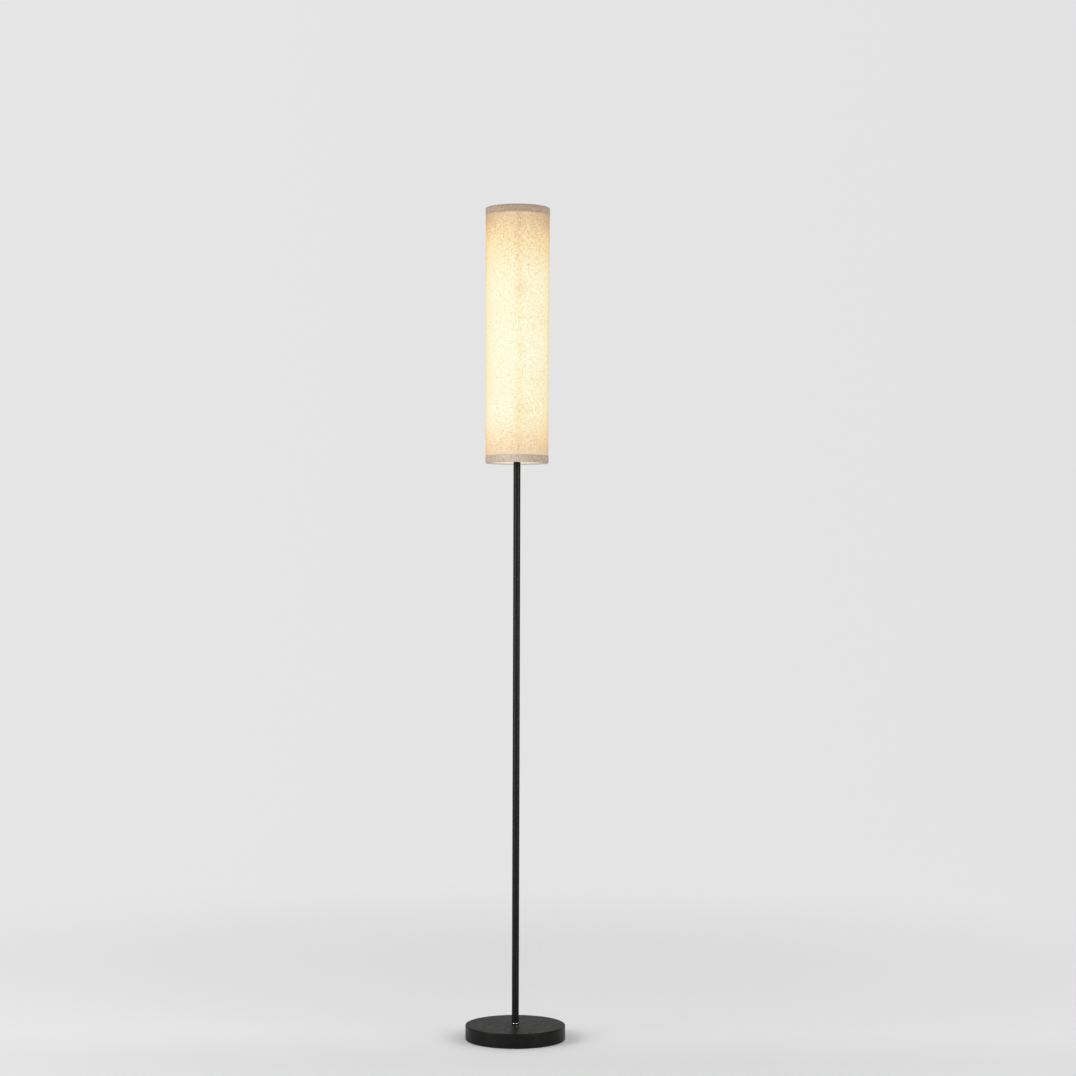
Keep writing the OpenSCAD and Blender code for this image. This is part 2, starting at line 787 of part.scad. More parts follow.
module screw_shell(i) {
  color(zinc) at_holder(i) translate([0, 0, holder_z(i) + core_top])
    tube(screw_shell_d, screw_shell_in_d, screw_shell_h);
}

module screw_shell_1() { screw_shell(0); }

module screw_shell_2() { screw_shell(1); }

module screw_shell_3() { screw_shell(2); }

// Hollow nipples that screw into the lampholders' floors and hang through the brackets
module holder_nipples() {
  drop = riser_nut_h + nipple_tail;
  color(zinc) for (i = [0 : 2]) at_holder(i) translate([0, 0, bracket_z(i) - drop])
    tube(riser_d, riser_bore, drop + bracket_t + holder_floor);
}

module holder_nuts() {
  color(zinc) for (i = [0 : 2]) at_holder(i) translate([0, 0, bracket_z(i) - riser_nut_h])
    hex_nut(riser_nut_af, riser_thread_d, riser_nut_h);
}

// ------------------------------------------------------------------------ bulbs

module at_bulb(i) {
  at_holder(i) translate([0, 0, holder_z(i)]) children();
}

// Screw cap: contact, insulator and a threaded barrel, drawn as rounded rings
module bulb_cap(i) {
  barrel_z = tip_z + tip_l + insulator_l;
  barrel_r = cap_d / 2 - cap_thread_depth;
  ring_r = cap_thread_depth;
  rings = floor((cap_top - barrel_z - 3 * ring_r) / cap_pitch);
  color(zinc) at_bulb(i) {
    translate([0, 0, tip_z]) cylinder(d = tip_d, h = tip_l + eps);
    translate([0, 0, tip_z + tip_l]) cylinder(d1 = insulator_d, d2 = 2 * barrel_r, h = insulator_l);
    translate([0, 0, barrel_z - eps]) cylinder(r = barrel_r, h = cap_top - barrel_z + eps);
    for (k = [0 : rings]) translate([0, 0, barrel_z + 2 * ring_r + k * cap_pitch])
      rotate_extrude() translate([barrel_r, 0]) circle(ring_r, $fn = 24);
  }
}

module bulb_cap_1() { bulb_cap(0); }

module bulb_cap_2() { bulb_cap(1); }

module bulb_cap_3() { bulb_cap(2); }

// Body between the cap and the globe, with the driver potted inside
module bulb_body(i) {
  color(plastic_white) at_bulb(i) rotate_extrude()
    polygon([
      [0, cap_top], [bulb_neck_d / 2, cap_top], [bulb_neck_d / 2, cap_top + neck_l],
      [bulb_body_d / 2 - flare_short, cap_top + neck_l + flare_l],
      [bulb_body_d / 2, globe_seat_z - seat_depth],
      [bulb_body_d / 2, globe_seat_z], [0, globe_seat_z]
    ]);
}

module bulb_body_1() { bulb_body(0); }

module bulb_body_2() { bulb_body(1); }

module bulb_body_3() { bulb_body(2); }

module bulb_globe(i) {
  color(opal) at_bulb(i) difference() {
    translate([0, 0, globe_z]) sphere(r = globe_r);
    translate([0, 0, globe_z]) sphere(r = globe_r - globe_t);
    translate([0, 0, globe_seat_z - globe_d]) cylinder(d = globe_d, h = globe_d);
  }
}

module bulb_globe_1() { bulb_globe(0); }

module bulb_globe_2() { bulb_globe(1); }

module bulb_globe_3() { bulb_globe(2); }

// ------------------------------------------------------------------------ leads

// From the terminal block, through the base stud and the pole, to the connector
module supply_lead() {
  start_z = supply_run_z + supply_bend_r;
  color(plastic_black) {
    translate([0, 0, start_z - run_in]) cylinder(d = supply_d, h = stud_top - start_z + 2 * run_in);
    rotate([0, 0, 90]) translate([0, 0, start_z]) mirror([0, 0, 1]) bend(supply_d, supply_bend_r);
    rotate([0, 0, 90]) translate([supply_bend_r - run_in, 0, supply_run_z])
      run_x(supply_d, block_start - supply_bend_r + run_in);
    rotate([0, 0, bulb_angle(0)]) {
      translate([0, 0, stud_top]) bend(supply_d, supply_top_bend_r);
      translate([supply_top_bend_r - run_in, 0, stud_top + supply_top_bend_r])
        run_x(supply_d, connector_start - supply_top_bend_r + run_in);
    }
  }
}

// Last stretch of every lead: out to the nipple and up to the lampholder's core
module lead_to_holder(i, x0, z) {
  turn_x = holder_reach - lead_outer_bend_r;
  rotate([0, 0, bulb_angle(i)]) translate([0, lead_side(i), 0]) {
    translate([x0, 0, z]) run_x(lead_d, turn_x + run_in - x0);
    translate([holder_reach, 0, z + lead_outer_bend_r]) rotate([0, 180, 0]) bend(lead_d, lead_outer_bend_r);
    translate([holder_reach, 0, z + lead_outer_bend_r - run_in])
      cylinder(d = lead_d, h = holder_z(i) + core_z - z - lead_outer_bend_r + run_in);
  }
}

// Stretch inside the riser: from the connector, up the bore and out through the side hole
module lead_in_riser(i) {
  branch_z = bracket_z(i) - branch_drop;
  low_z = riser_lead_z + lead_inner_bend_r;
  at_angle = bulb_angle(i);
  place = climb(i);
  x = place[0] * cos(at_angle) - place[1] * sin(at_angle);
  y = place[0] * sin(at_angle) + place[1] * cos(at_angle);
  translate([x, y, 0]) {
    translate([0, 0, low_z - run_in])
      cylinder(d = lead_d, h = branch_z - lead_inner_bend_r - low_z + 2 * run_in);
    rotate([0, 0, at_angle]) translate([0, 0, branch_z - lead_inner_bend_r]) bend(lead_d, lead_inner_bend_r);
    translate([0, 0, low_z]) rotate([0, 180, 0]) bend(lead_d, lead_inner_bend_r);
  }
  translate([-connector_start, y, riser_lead_z])
    run_x(lead_d, connector_start + x - lead_inner_bend_r + run_in);
}

// Leads from the connector to the lampholders, and two that pass the stud to the switch
module inner_leads() {
  color(plastic_black) {
    for (side = [-1, 1]) translate([0, side * switch_lead_side, switch_lead_z])
      run_from(-connector_start, switch_start, lead_d);
    lead_to_holder(0, connector_start + connector_l, first_lead_z);
    for (i = [1, 2]) {
      lead_in_riser(i);
      lead_to_holder(i, lead_inner_bend_r - riser_lead_side - run_in, bracket_z(i) - branch_drop);
    }
  }
}

// ------------------------------------------------------------------------ shade

// Wire ring just inside one end of the panel
module wire_ring(z) {
  rotate_extrude($fn = 180) translate([wire_r(z), z]) circle(d = wire_d, $fn = 32);
}

// Round bars where the spider's arms lie
module arms(d, l) {
  for (k = [0 : spider_arms - 1]) rotate([0, 0, first_arm + k * 360 / spider_arms])
    translate([hub_r, 0, hub_z]) rotate([0, atan2(arm_reach, arm_rise), 0]) cylinder(d = d, h = l);
}

// Top ring, straight arms and centre washer, welded into one frame
module shade_frame() {
  color(bright_steel) {
    wire_ring(ring_z);
    difference() {
      union() {
        translate([0, 0, washer_z]) cylinder(d = spider_washer_d, h = spider_washer_t);
        arms(arm_d, arm_l);
      }
      translate([0, 0, washer_z - cut])
        cylinder(d = riser_d + 2 * spider_clear, h = spider_washer_t + 2 * cut);
    }
  }
}

module shade_bottom_ring() {
  color(bright_steel) wire_ring(shade_z + wire_edge);
}

module shade_panel() {
  z0 = shade_z + trim_t + glue_t;
  z1 = shade_top - trim_t - glue_t;
  color(panel_cream) shade_layer(z0, z1, panel_r(z0), panel_r(z1), lining_r(z0), lining_r(z1));
}

module shade_skin() {
  z0 = shade_z + trim_t + glue_t;
  z1 = shade_top - trim_t - glue_t;
  color(linen) shade_layer(z0, z1, skin_r(z0), skin_r(z1), panel_r(z0) + glue_t, panel_r(z1) + glue_t);
}

// Folded trim: a band outside, over the edge, round the wire and flat against the panel.
// The edge is a height, and inward is 1 for the bottom trim and -1 for the top one.
module folded_trim(edge, inward) {
  outer_end = edge + inward * trim_h;
  web = edge + inward * trim_t;
  past_wire = edge + inward * (wire_edge + wire_d);
  flap_end = past_wire + inward * trim_flap;
  wire_side = wire_r(edge) - wire_d / 2 - glue_t;
  color(linen_trim) rotate_extrude($fn = 180)
    polygon([
      [trim_r(outer_end), outer_end], [trim_r(edge), edge],
      [wire_side - trim_t, edge], [wire_side - trim_t, past_wire - inward * wire_d / 2],
      [lining_r(past_wire) - glue_t - trim_t, past_wire + inward * wire_d / 2],
      [lining_r(flap_end) - glue_t - trim_t, flap_end], [lining_r(flap_end) - glue_t, flap_end],
      [lining_r(past_wire) - glue_t, past_wire + inward * wire_d / 2],
      [wire_side, past_wire - inward * wire_d / 2], [wire_side, web],
      [skin_r(web) + glue_t, web], [skin_r(outer_end) + glue_t, outer_end]
    ]);
}

// The top trim is notched round each arm; the notches stop inside the fold, short of the wire's middle
module shade_top_trim() {
  color(linen_trim) difference() {
    folded_trim(shade_top, -1);
    arms(arm_d + 2 * notch_clear, arm_l - wire_d / 4);
  }
}

module shade_bottom_trim() { folded_trim(shade_z, 1); }

// Strip of linen glued over the joint down the back
module shade_seam() {
  z0 = shade_z + trim_h + glue_t;
  z1 = shade_top - trim_h - glue_t;
  color(linen_trim) intersection() {
    shade_layer(z0, z1, trim_r(z0), trim_r(z1), skin_r(z0) + glue_t, skin_r(z1) + glue_t);
    translate([-seam_w / 2, 0, z0 - cut]) cube([seam_w, shade_top_d + shade_bottom_d, shade_h]);
  }
}

// Capped nut that holds the spider down on the riser
module finial() {
  color(powder_black) translate([0, 0, washer_top + seat_gap]) difference() {
    rounded_disc(finial_d, finial_h, finial_edge_r, 0);
    translate([0, 0, -cut]) cylinder(d = riser_thread_d, h = finial_grip + cut + hole_clear);
  }
}

// --------------------------------------------------------------------- assembly

foot_pad();
base_weight();
base_cover();
cable_grommet();
terminal_block();
terminal_screws();
base_stud();
base_washer();
base_nut();
foot_ring();
foot_collar();
pole_lower();
pole_middle();
pole_upper();
pole_lower_inserts();
pole_upper_inserts();
pole_studs();
switch_housing();
housing_lid();
lid_screws();
switch_body();
switch_nut();
switch_shaft();
switch_knob();
wire_connector();
riser_tube();
riser_nuts();
holder_bracket_1();
holder_bracket_2();
holder_bracket_3();
holder_shell_1();
holder_shell_2();
holder_shell_3();
holder_core_1();
holder_core_2();
holder_core_3();
screw_shell_1();
screw_shell_2();
screw_shell_3();
holder_nipples();
holder_nuts();
bulb_cap_1();
bulb_cap_2();
bulb_cap_3();
bulb_body_1();
bulb_body_2();
bulb_body_3();
bulb_globe_1();
bulb_globe_2();
bulb_globe_3();
supply_lead();
inner_leads();
shade_frame();
shade_bottom_ring();
shade_panel();
shade_skin();
shade_top_trim();
shade_bottom_trim();
shade_seam();
finial();
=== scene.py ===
# Column floor lamp: a weighted round base, a slim black pole and a tall linen drum shade, lit from inside.
# Metres, +Z up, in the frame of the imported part, which stands on z = 0. The front is -Y.
import math

import bmesh
import bpy
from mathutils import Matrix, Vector, noise


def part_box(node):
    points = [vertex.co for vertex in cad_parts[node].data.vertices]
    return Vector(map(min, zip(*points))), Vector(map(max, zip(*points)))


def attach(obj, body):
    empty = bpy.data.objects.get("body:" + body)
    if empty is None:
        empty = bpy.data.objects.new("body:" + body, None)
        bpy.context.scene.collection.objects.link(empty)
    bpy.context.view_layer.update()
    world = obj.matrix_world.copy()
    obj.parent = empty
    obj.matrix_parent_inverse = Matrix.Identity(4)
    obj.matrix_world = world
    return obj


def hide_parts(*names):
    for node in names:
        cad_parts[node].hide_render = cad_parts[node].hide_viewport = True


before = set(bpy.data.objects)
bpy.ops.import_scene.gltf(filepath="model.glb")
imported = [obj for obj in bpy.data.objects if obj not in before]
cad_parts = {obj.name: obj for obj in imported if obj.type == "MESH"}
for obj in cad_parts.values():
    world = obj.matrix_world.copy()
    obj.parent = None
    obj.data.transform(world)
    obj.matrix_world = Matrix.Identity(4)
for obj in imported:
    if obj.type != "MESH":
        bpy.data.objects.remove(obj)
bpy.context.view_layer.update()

# ------------------------------------------------------------------ camera
# A long lens four and a half metres off, a little over the lamp's middle and tipped up by
# less than a degree. A trace of roll lets the lamp's top lean to the right, as pictured.
lens = bpy.data.cameras.new("long_lens")
lens.lens = 77.43
lens.sensor_width = 36
lens.clip_end = 60
camera = bpy.data.objects.new("camera", lens)
camera.location = (0.0424, -4.602, 0.9246)
camera.rotation_euler = (math.radians(90.854), math.radians(-0.17), 0)
bpy.context.scene.collection.objects.link(camera)
bpy.context.scene.camera = camera

# ------------------------------------------------------------- powder coat
# The base cover, collar, pole tubes, switch housing and finial are steel, sprayed with black
# powder and baked, which leaves a satin skin of fine grains with a few paler flecks in it.


def feed(tree, made, sockets):
    """Sets a node's inputs, by name or number, to values or to links."""
    for key, value in sockets.items():
        if isinstance(value, bpy.types.NodeSocket):
            tree.links.new(value, made.inputs[key])
        else:
            made.inputs[key].default_value = value
    return made


def put(tree, kind, sockets=None, **settings):
    """Adds one node with its settings and inputs."""
    made = tree.nodes.new(kind)
    for key, value in settings.items():
        setattr(made, key, value)
    return feed(tree, made, sockets or {})


def sum_up(tree, operation, *terms, clamp=False):
    """The result of one sum on numbers."""
    return put(tree, "ShaderNodeMath", dict(enumerate(terms)), operation=operation, use_clamp=clamp).outputs[0]


def plus(tree, first, second):
    """The sum of two numbers."""
    return sum_up(tree, "ADD", first, second)


def minus(tree, first, second, clamp=False):
    """One number less another."""
    return sum_up(tree, "SUBTRACT", first, second, clamp=clamp)


def times(tree, first, second, clamp=False):
    """The product of two numbers."""
    return sum_up(tree, "MULTIPLY", first, second, clamp=clamp)


def times_plus(tree, first, second, third):
    """The product of two numbers, plus a third."""
    return sum_up(tree, "MULTIPLY_ADD", first, second, third)


def divided(tree, first, second):
    """One number over another."""
    return sum_up(tree, "DIVIDE", first, second)


def vector_sum(tree, operation, *terms, result=0):
    """The result of one sum on vectors."""
    return put(tree, "ShaderNodeVectorMath", dict(enumerate(terms)), operation=operation).outputs[result]


def scaled(tree, vector, factor):
    """A vector or colour times a number."""
    return put(tree, "ShaderNodeVectorMath", {0: vector, "Scale": factor}, operation="SCALE").outputs[0]


def point(tree, x=0.0, y=0.0, z=0.0):
    """A vector made up of its three numbers."""
    return put(tree, "ShaderNodeCombineXYZ", {0: x, 1: y, 2: z}).outputs[0]


def parts_of(tree, vector):
    """The three numbers of a vector."""
    return put(tree, "ShaderNodeSeparateXYZ", {0: vector}).outputs


def spread(tree, value, low, high, to_low=0.0, to_high=1.0, soft=False):
    """A value taken from one range to another, held at its ends."""
    ranges = {"Value": value, "From Min": low, "From Max": high, "To Min": to_low, "To Max": to_high}
    return put(tree, "ShaderNodeMapRange", ranges,
               interpolation_type="SMOOTHSTEP" if soft else "LINEAR").outputs[0]


def blend_colour(tree, share, under, over):
    """One colour laid over another by a share."""
    made = put(tree, "ShaderNodeMix", {0: share}, data_type="RGBA")
    for key, colour in ((6, under), (7, over)):
        feed(tree, made, {key: colour if isinstance(colour, bpy.types.NodeSocket) else (*colour, 1.0)})
    return made.outputs[2]


def cloud(tree, place, scale, detail=2.0, rough=0.5, seed=0.0):
    """Soft random noise from 0 to 1."""
    sockets = {"Vector": place, "W": seed, "Scale": scale, "Detail": detail, "Roughness": rough}
    return put(tree, "ShaderNodeTexNoise", sockets, noise_dimensions="4D").outputs[0]


def recipe(name, takes, gives):
    """An empty shader group with its named inputs and outputs."""
    tree = bpy.data.node_groups.new(name, "ShaderNodeTree")
    for label, sort, value in takes:
        socket = tree.interface.new_socket(label, in_out="INPUT", socket_type=sort)
        if value is not None:
            socket.default_value = value
    for label, sort in gives:
        tree.interface.new_socket(label, in_out="OUTPUT", socket_type=sort)
    return tree, tree.nodes.new("NodeGroupInput").outputs, tree.nodes.new("NodeGroupOutput")


def use(tree, group, **sockets):
    """Places a shader group in a material."""
    made = tree.nodes.new("ShaderNodeGroup")
    made.node_tree = group
    return feed(tree, made, sockets).outputs


def finish(name, **sockets):
    """A new material: its tree, its shader and the object's own coordinates."""
    made = bpy.data.materials.new(name)
    made.use_nodes = True
    tree = made.node_tree
    shader = feed(tree, tree.nodes["Principled BSDF"], sockets)
    return made, tree, shader, put(tree, "ShaderNodeTexCoord").outputs["Object"]


def emboss(tree, shader, height, depth, strength=1.0):
    """Raises or sinks the surface by a height from 0 to 1 times a depth in metres."""
    bump = put(tree, "ShaderNodeBump", {"Height": height, "Distance": depth, "Strength": strength})
    feed(tree, shader, {"Normal": bump.outputs[0]})


def dress(material, *names):
    """Gives CAD nodes their material."""
    for name in names:
        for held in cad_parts[name].material_slots:
            held.material = material


VECTOR, NUMBER = "NodeSocketVector", "NodeSocketFloat"

# fine grains, as sprayed powder or a spark-eroded mould leaves them
grain, given, made = recipe("fine_grain", [("Place", VECTOR, None), ("Grain", NUMBER, 0.0004)],
                            [("Height", NUMBER), ("Tone", NUMBER), ("Fleck", NUMBER)])
grains = divided(grain, 1.0, given["Grain"])
pebbles = put(grain, "ShaderNodeTexVoronoi", {"Vector": given["Place"], "Scale": grains, "Smoothness": 0.6},
              feature="SMOOTH_F1").outputs[0]
ripple = cloud(grain, given["Place"], times(grain, grains, 0.35), 3.0, 0.6, 2.0)
feed(grain, made, {
    "Height": plus(grain, times(grain, pebbles, 0.55), times(grain, ripple, 0.45)),
    "Tone": spread(grain, cloud(grain, given["Place"], 90.0, 4.0, 0.75, 5.0), 0.32, 0.68),
    "Fleck": spread(grain, cloud(grain, given["Place"], times(grain, grains, 0.8), 0.0, 0.5, 9.0), 0.70, 0.78),
})

# dust that settles on what faces up
dusting, given, made = recipe("settled_dust",
                              [("Place", VECTOR, None), ("Facing", VECTOR, (0, 0, 1)), ("Amount", NUMBER, 0.3)],
                              [("Mask", NUMBER)])
upward = parts_of(dusting, given["Facing"])[2]
drift = times(dusting, cloud(dusting, given["Place"], 35.0, 5.0, 0.65, 1.0),
              cloud(dusting, given["Place"], 900.0, 2.0, 0.5, 3.0))
feed(dusting, made, {"Mask": times(dusting, spread(dusting, upward, 0.6, 1.0),
                                   times(dusting, spread(dusting, drift, 0.16, 0.36), given["Amount"]))})

powder, tree, shader, place = finish("powder_black", **{"Specular IOR Level": 0.08})
skin = use(tree, grain, Place=place, Grain=0.00035)
facing = put(tree, "ShaderNodeNewGeometry").outputs["Normal"]
dust = use(tree, dusting, Place=place, Facing=facing, Amount=0.10)["Mask"]
black = blend_colour(tree, skin["Tone"], (0.0060, 0.0058, 0.0056), (0.0094, 0.0090, 0.0086))
black = blend_colour(tree, times(tree, skin["Fleck"], 0.4), black, (0.060, 0.057, 0.053))
feed(tree, shader, {
    "Base Color": blend_colour(tree, dust, black, (0.22, 0.21, 0.19)),
    "Roughness": plus(tree, spread(tree, skin["Tone"], 0, 1, 0.27, 0.43), times(tree, dust, 0.3)),
})
emboss(tree, shader, skin["Height"], 0.00005, 0.5)
dress(powder, "base_cover", "foot_collar", "pole_lower", "pole_middle", "pole_upper", "switch_housing",
      "housing_lid", "finial")

# ---------------------------------------------------- base weight and inlet
# Inside the cover lies a round iron casting, left as it came out of the sand, with a pocket
# and a channel for the lead. A rubber grommet snaps into the cover's skirt at the back.
iron, tree, shader, place = finish("cast_iron", Metallic=0.7)
sand = use(tree, grain, Place=place, Grain=0.0013)
feed(tree, shader, {
    "Base Color": blend_colour(tree, sand["Tone"], (0.055, 0.053, 0.052), (0.12, 0.105, 0.095)),
    "Roughness": spread(tree, sand["Height"], 0.2, 0.8, 0.55, 0.8),
})
emboss(tree, shader, sand["Height"], 0.0006, 0.8)
dress(iron, "base_weight")

rubber, tree, shader, place = finish("grommet_rubber", **{"Specular IOR Level": 0.3})
matt = use(tree, grain, Place=place, Grain=0.0002)
feed(tree, shader, {
    "Base Color": blend_colour(tree, matt["Tone"], (0.012, 0.012, 0.012), (0.022, 0.021, 0.020)),
    "Roughness": spread(tree, matt["Height"], 0.2, 0.8, 0.60, 0.75),
})
emboss(tree, shader, matt["Height"], 0.00003, 0.6)
dress(rubber, "cable_grommet")

# ---------------------------------------------------------------- foam pad
# A disc of closed-cell foam, stuck under the weight so that the lamp doesn't mark the floor.
# It is punched from sheet, so its edge is slightly drawn in, and its face shows small cells.


def turn(name, outline, around, wobble=0.0, cloth=False):
    """A mesh turned about the Z axis from its outline of (radius, height) points. A radius of 0
    makes a pole, and cloth adds a UV map in metres along and across the strip."""
    mesh = bpy.data.meshes.new(name)
    shape = bmesh.new()
    chart = shape.loops.layers.uv.new("cloth") if cloth else None
    along = [0.0]
    for (r0, z0), (r1, z1) in zip(outline, outline[1:]):
        along.append(along[-1] + math.hypot(r1 - r0, z1 - z0))
    rings = []
    for k, (r, z) in enumerate(outline):
        if r == 0:
            rings.append([shape.verts.new((0, 0, z))] * around)
            continue
        ring = []
        for i in range(around):
            angle = math.pi / 2 + 2 * math.pi * i / around
            shift = wobble * noise.noise(Vector((3 * math.cos(angle), 3 * math.sin(angle), along[k] * 90)))
            ring.append(shape.verts.new(((r + shift) * math.cos(angle), (r + shift) * math.sin(angle), z)))
        rings.append(ring)
    mean = sum(r for r, z in outline) / len(outline)
    for k in range(len(outline) - 1):
        low, high = rings[k], rings[k + 1]
        for i in range(around):
            j = (i + 1) % around
            corners = []
            for vert, step, row in ((low[i], i, k), (low[j], i + 1, k),
                                    (high[j], i + 1, k + 1), (high[i], i, k + 1)):
                if vert not in [c[0] for c in corners]:
                    corners.append((vert, step, row))
            face = shape.faces.new([c[0] for c in corners])
            face.smooth = True
            if cloth:
                for loop, (vert, step, row) in zip(face.loops, corners):
                    loop[chart].uv = (2 * math.pi * mean * step / around, along[row])
    shape.to_mesh(mesh)
    shape.free()
    piece = bpy.data.objects.new(name, mesh)
    bpy.context.scene.collection.objects.link(piece)
    return piece


def settle(piece, body, material, slot_name, *nodes):
    """Rides a finished piece on its body, in its material, in the place of its CAD nodes."""
    piece.data.materials.clear()
    piece.data.materials.append(material)
    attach(piece, body)
    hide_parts(*nodes)
    return piece


def bake_down(piece):
    """Turns an object's modifiers into plain mesh."""
    held = bpy.context.evaluated_depsgraph_get()
    solid = bpy.data.meshes.new_from_object(piece.evaluated_get(held), preserve_all_data_layers=True,
                                            depsgraph=held)
    piece.modifiers.clear()
    piece.data = solid
    return piece


foam, tree, shader, place = finish("closed_cell_foam", Roughness=0.9, **{"Specular IOR Level": 0.2})
cells = put(tree, "ShaderNodeTexVoronoi", {"Vector": place, "Scale": 1400.0},
            feature="DISTANCE_TO_EDGE").outputs[0]
pores = spread(tree, cells, 0.0, 0.25)
feed(tree, shader, {"Base Color": blend_colour(tree, pores, (0.050, 0.050, 0.049), (0.022, 0.022, 0.022))})
emboss(tree, shader, pores, -0.00015, 0.7)
pad_low, pad_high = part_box("foot_pad")
pad_r, pad_t, pad_edge = pad_high.x, pad_high.z, 0.0007
rim = []
for tilt in range(-90, 1, 15):
    a = math.radians(tilt)
    rim.append((pad_r - pad_edge + pad_edge * math.cos(a), pad_edge + pad_edge * math.sin(a)))
rim += [(pad_r - 0.0003, pad_t - 0.0004), (pad_r - 0.0005, pad_t)]
faces_below = [(0.0, 0.0)] + [(pad_r * s, 0.0) for s in (0.1, 0.25, 0.4, 0.55, 0.7, 0.85, 0.95)]
faces_above = [(pad_r * s, pad_t) for s in (0.95, 0.7, 0.4, 0.1)] + [(0.0, pad_t)]
pad = settle(turn("foam_pad", faces_below + rim + faces_above, 160), "stand", foam, "foam", "foot_pad")

# --------------------------------------------------------- plated steelwork
# Washers, nuts, brackets and tube inserts are mild steel, zinc plated in a barrel, which
# leaves a bluish grey skin with soft clouds. The hollow studs and the riser carry fine threads.
clouding, given, made = recipe("plating_cloud", [("Place", VECTOR, None), ("Size", NUMBER, 0.004)],
                               [("Tone", NUMBER), ("Scuff", NUMBER)])
patches = put(clouding, "ShaderNodeTexVoronoi",
              {"Vector": given["Place"], "Scale": divided(clouding, 1.0, given["Size"])}).outputs[1]
spangle = put(clouding, "ShaderNodeSeparateColor", {0: patches}).outputs[0]
feed(clouding, made, {
    "Tone": plus(clouding, times(clouding, spangle, 0.35),
                 times(clouding, cloud(clouding, given["Place"], 160.0, 4.0, 0.6, 4.0), 0.65)),
    "Scuff": spread(clouding, cloud(clouding, given["Place"], 1800.0, 4.0, 0.7, 6.0), 0.35, 0.75),
})


def plate(name, dark, light, rough, thread=0.0):
    """A plated metal, with or without a screw thread of that pitch along Z."""
    metal, tree, shader, place = finish(name, Metallic=1.0)
    tone = use(tree, clouding, Place=place)
    feed(tree, shader, {
        "Base Color": blend_colour(tree, tone["Tone"], dark, light),
        "Roughness": spread(tree, tone["Scuff"], 0, 1, rough, rough + 0.15),
    })
    if thread:
        x, y, z = parts_of(tree, place)
        turns = plus(tree, divided(tree, z, thread), divided(tree, sum_up(tree, "ARCTAN2", y, x), 2 * math.pi))
        ridge = sum_up(tree, "PINGPONG", turns, 0.5)
        emboss(tree, shader, times(tree, ridge, 2.0), thread * 0.5, 0.9)
    else:
        emboss(tree, shader, tone["Scuff"], 0.00002, 0.5)
    return metal


zinc = plate("zinc_plate", (0.42, 0.43, 0.45), (0.66, 0.67, 0.69), 0.28)
dress(zinc, "base_washer", "base_nut", "pole_lower_inserts", "pole_upper_inserts", "lid_screws", "switch_nut",
      "switch_shaft", "riser_nuts", "holder_nuts", "holder_bracket_1", "holder_bracket_2", "holder_bracket_3")
threaded = plate("zinc_thread", (0.40, 0.41, 0.43), (0.62, 0.63, 0.65), 0.30, thread=0.001)
dress(threaded, "base_stud", "pole_studs", "riser_tube", "holder_nipples")

# ------------------------------------------------------------- bright ring
# The pole's collar stands on a turned ring on the cover, plated in dark nickel. The shade's
# frame is bright nickel over drawn wire. Both show faint marks of the tool round them.
turning, given, made = recipe("turned_marks", [("Place", VECTOR, None), ("Pitch", NUMBER, 0.00025)],
                              [("Height", NUMBER), ("Tone", NUMBER)])
x, y, z = parts_of(turning, given["Place"])
out = sum_up(turning, "SQRT", plus(turning, times(turning, x, x), times(turning, y, y)))
lathe = point(turning, divided(turning, out, given["Pitch"]), divided(turning, z, given["Pitch"]),
              sum_up(turning, "ARCTAN2", y, x))
feed(turning, made, {"Height": cloud(turning, lathe, 1.0, 3.0, 0.6, 1.0),
                     "Tone": cloud(turning, lathe, 0.16, 2.0, 0.5, 7.0)})

bright, tree, shader, place = finish("polished_nickel", Metallic=1.0)
marks = use(tree, turning, Place=place)
feed(tree, shader, {
    "Base Color": blend_colour(tree, marks["Tone"], (0.62, 0.60, 0.57), (0.86, 0.84, 0.81)),
    "Roughness": spread(tree, marks["Tone"], 0.3, 0.7, 0.10, 0.20),
})
emboss(tree, shader, marks["Height"], 0.000008, 0.5)
dress(bright, "shade_frame", "shade_bottom_ring")

smoked, tree, shader, place = finish("smoked_nickel", Metallic=1.0)
marks = use(tree, turning, Place=place)
feed(tree, shader, {
    "Base Color": blend_colour(tree, marks["Tone"], (0.16, 0.155, 0.15), (0.23, 0.225, 0.215)),
    "Roughness": spread(tree, marks["Tone"], 0.3, 0.7, 0.20, 0.28),
})
emboss(tree, shader, marks["Height"], 0.000008, 0.5)
dress(smoked, "foot_ring")

# --------------------------------------------------- terminal block and plastics
# The terminal block, the lead connector and the bulbs' bodies are moulded in white plastic;
# the switch, its knob and the lampholders in black, off a finely sparked mould.


def moulded(name, dark, light, rough, depth=0.00003):
    """A moulded plastic with a fine even grain."""
    plastic, tree, shader, place = finish(name, **{"Specular IOR Level": 0.4})
    skin = use(tree, grain, Place=place, Grain=0.00025)
    feed(tree, shader, {
        "Base Color": blend_colour(tree, skin["Tone"], dark, light),
        "Roughness": spread(tree, skin["Height"], 0.2, 0.8, rough, rough + 0.12),
    })
    emboss(tree, shader, skin["Height"], depth, 0.5)
    return plastic


dress(moulded("white_plastic", (0.70, 0.69, 0.66), (0.80, 0.79, 0.76), 0.38),
      "terminal_block", "wire_connector", "bulb_body_1", "bulb_body_2", "bulb_body_3")
dress(moulded("black_plastic", (0.014, 0.014, 0.014), (0.024, 0.023, 0.022), 0.36),
      "switch_body", "switch_knob", "holder_shell_1", "holder_shell_2", "holder_shell_3")
dress(plate("terminal_brass", (0.52, 0.36, 0.13), (0.74, 0.55, 0.24), 0.22), "terminal_screws")

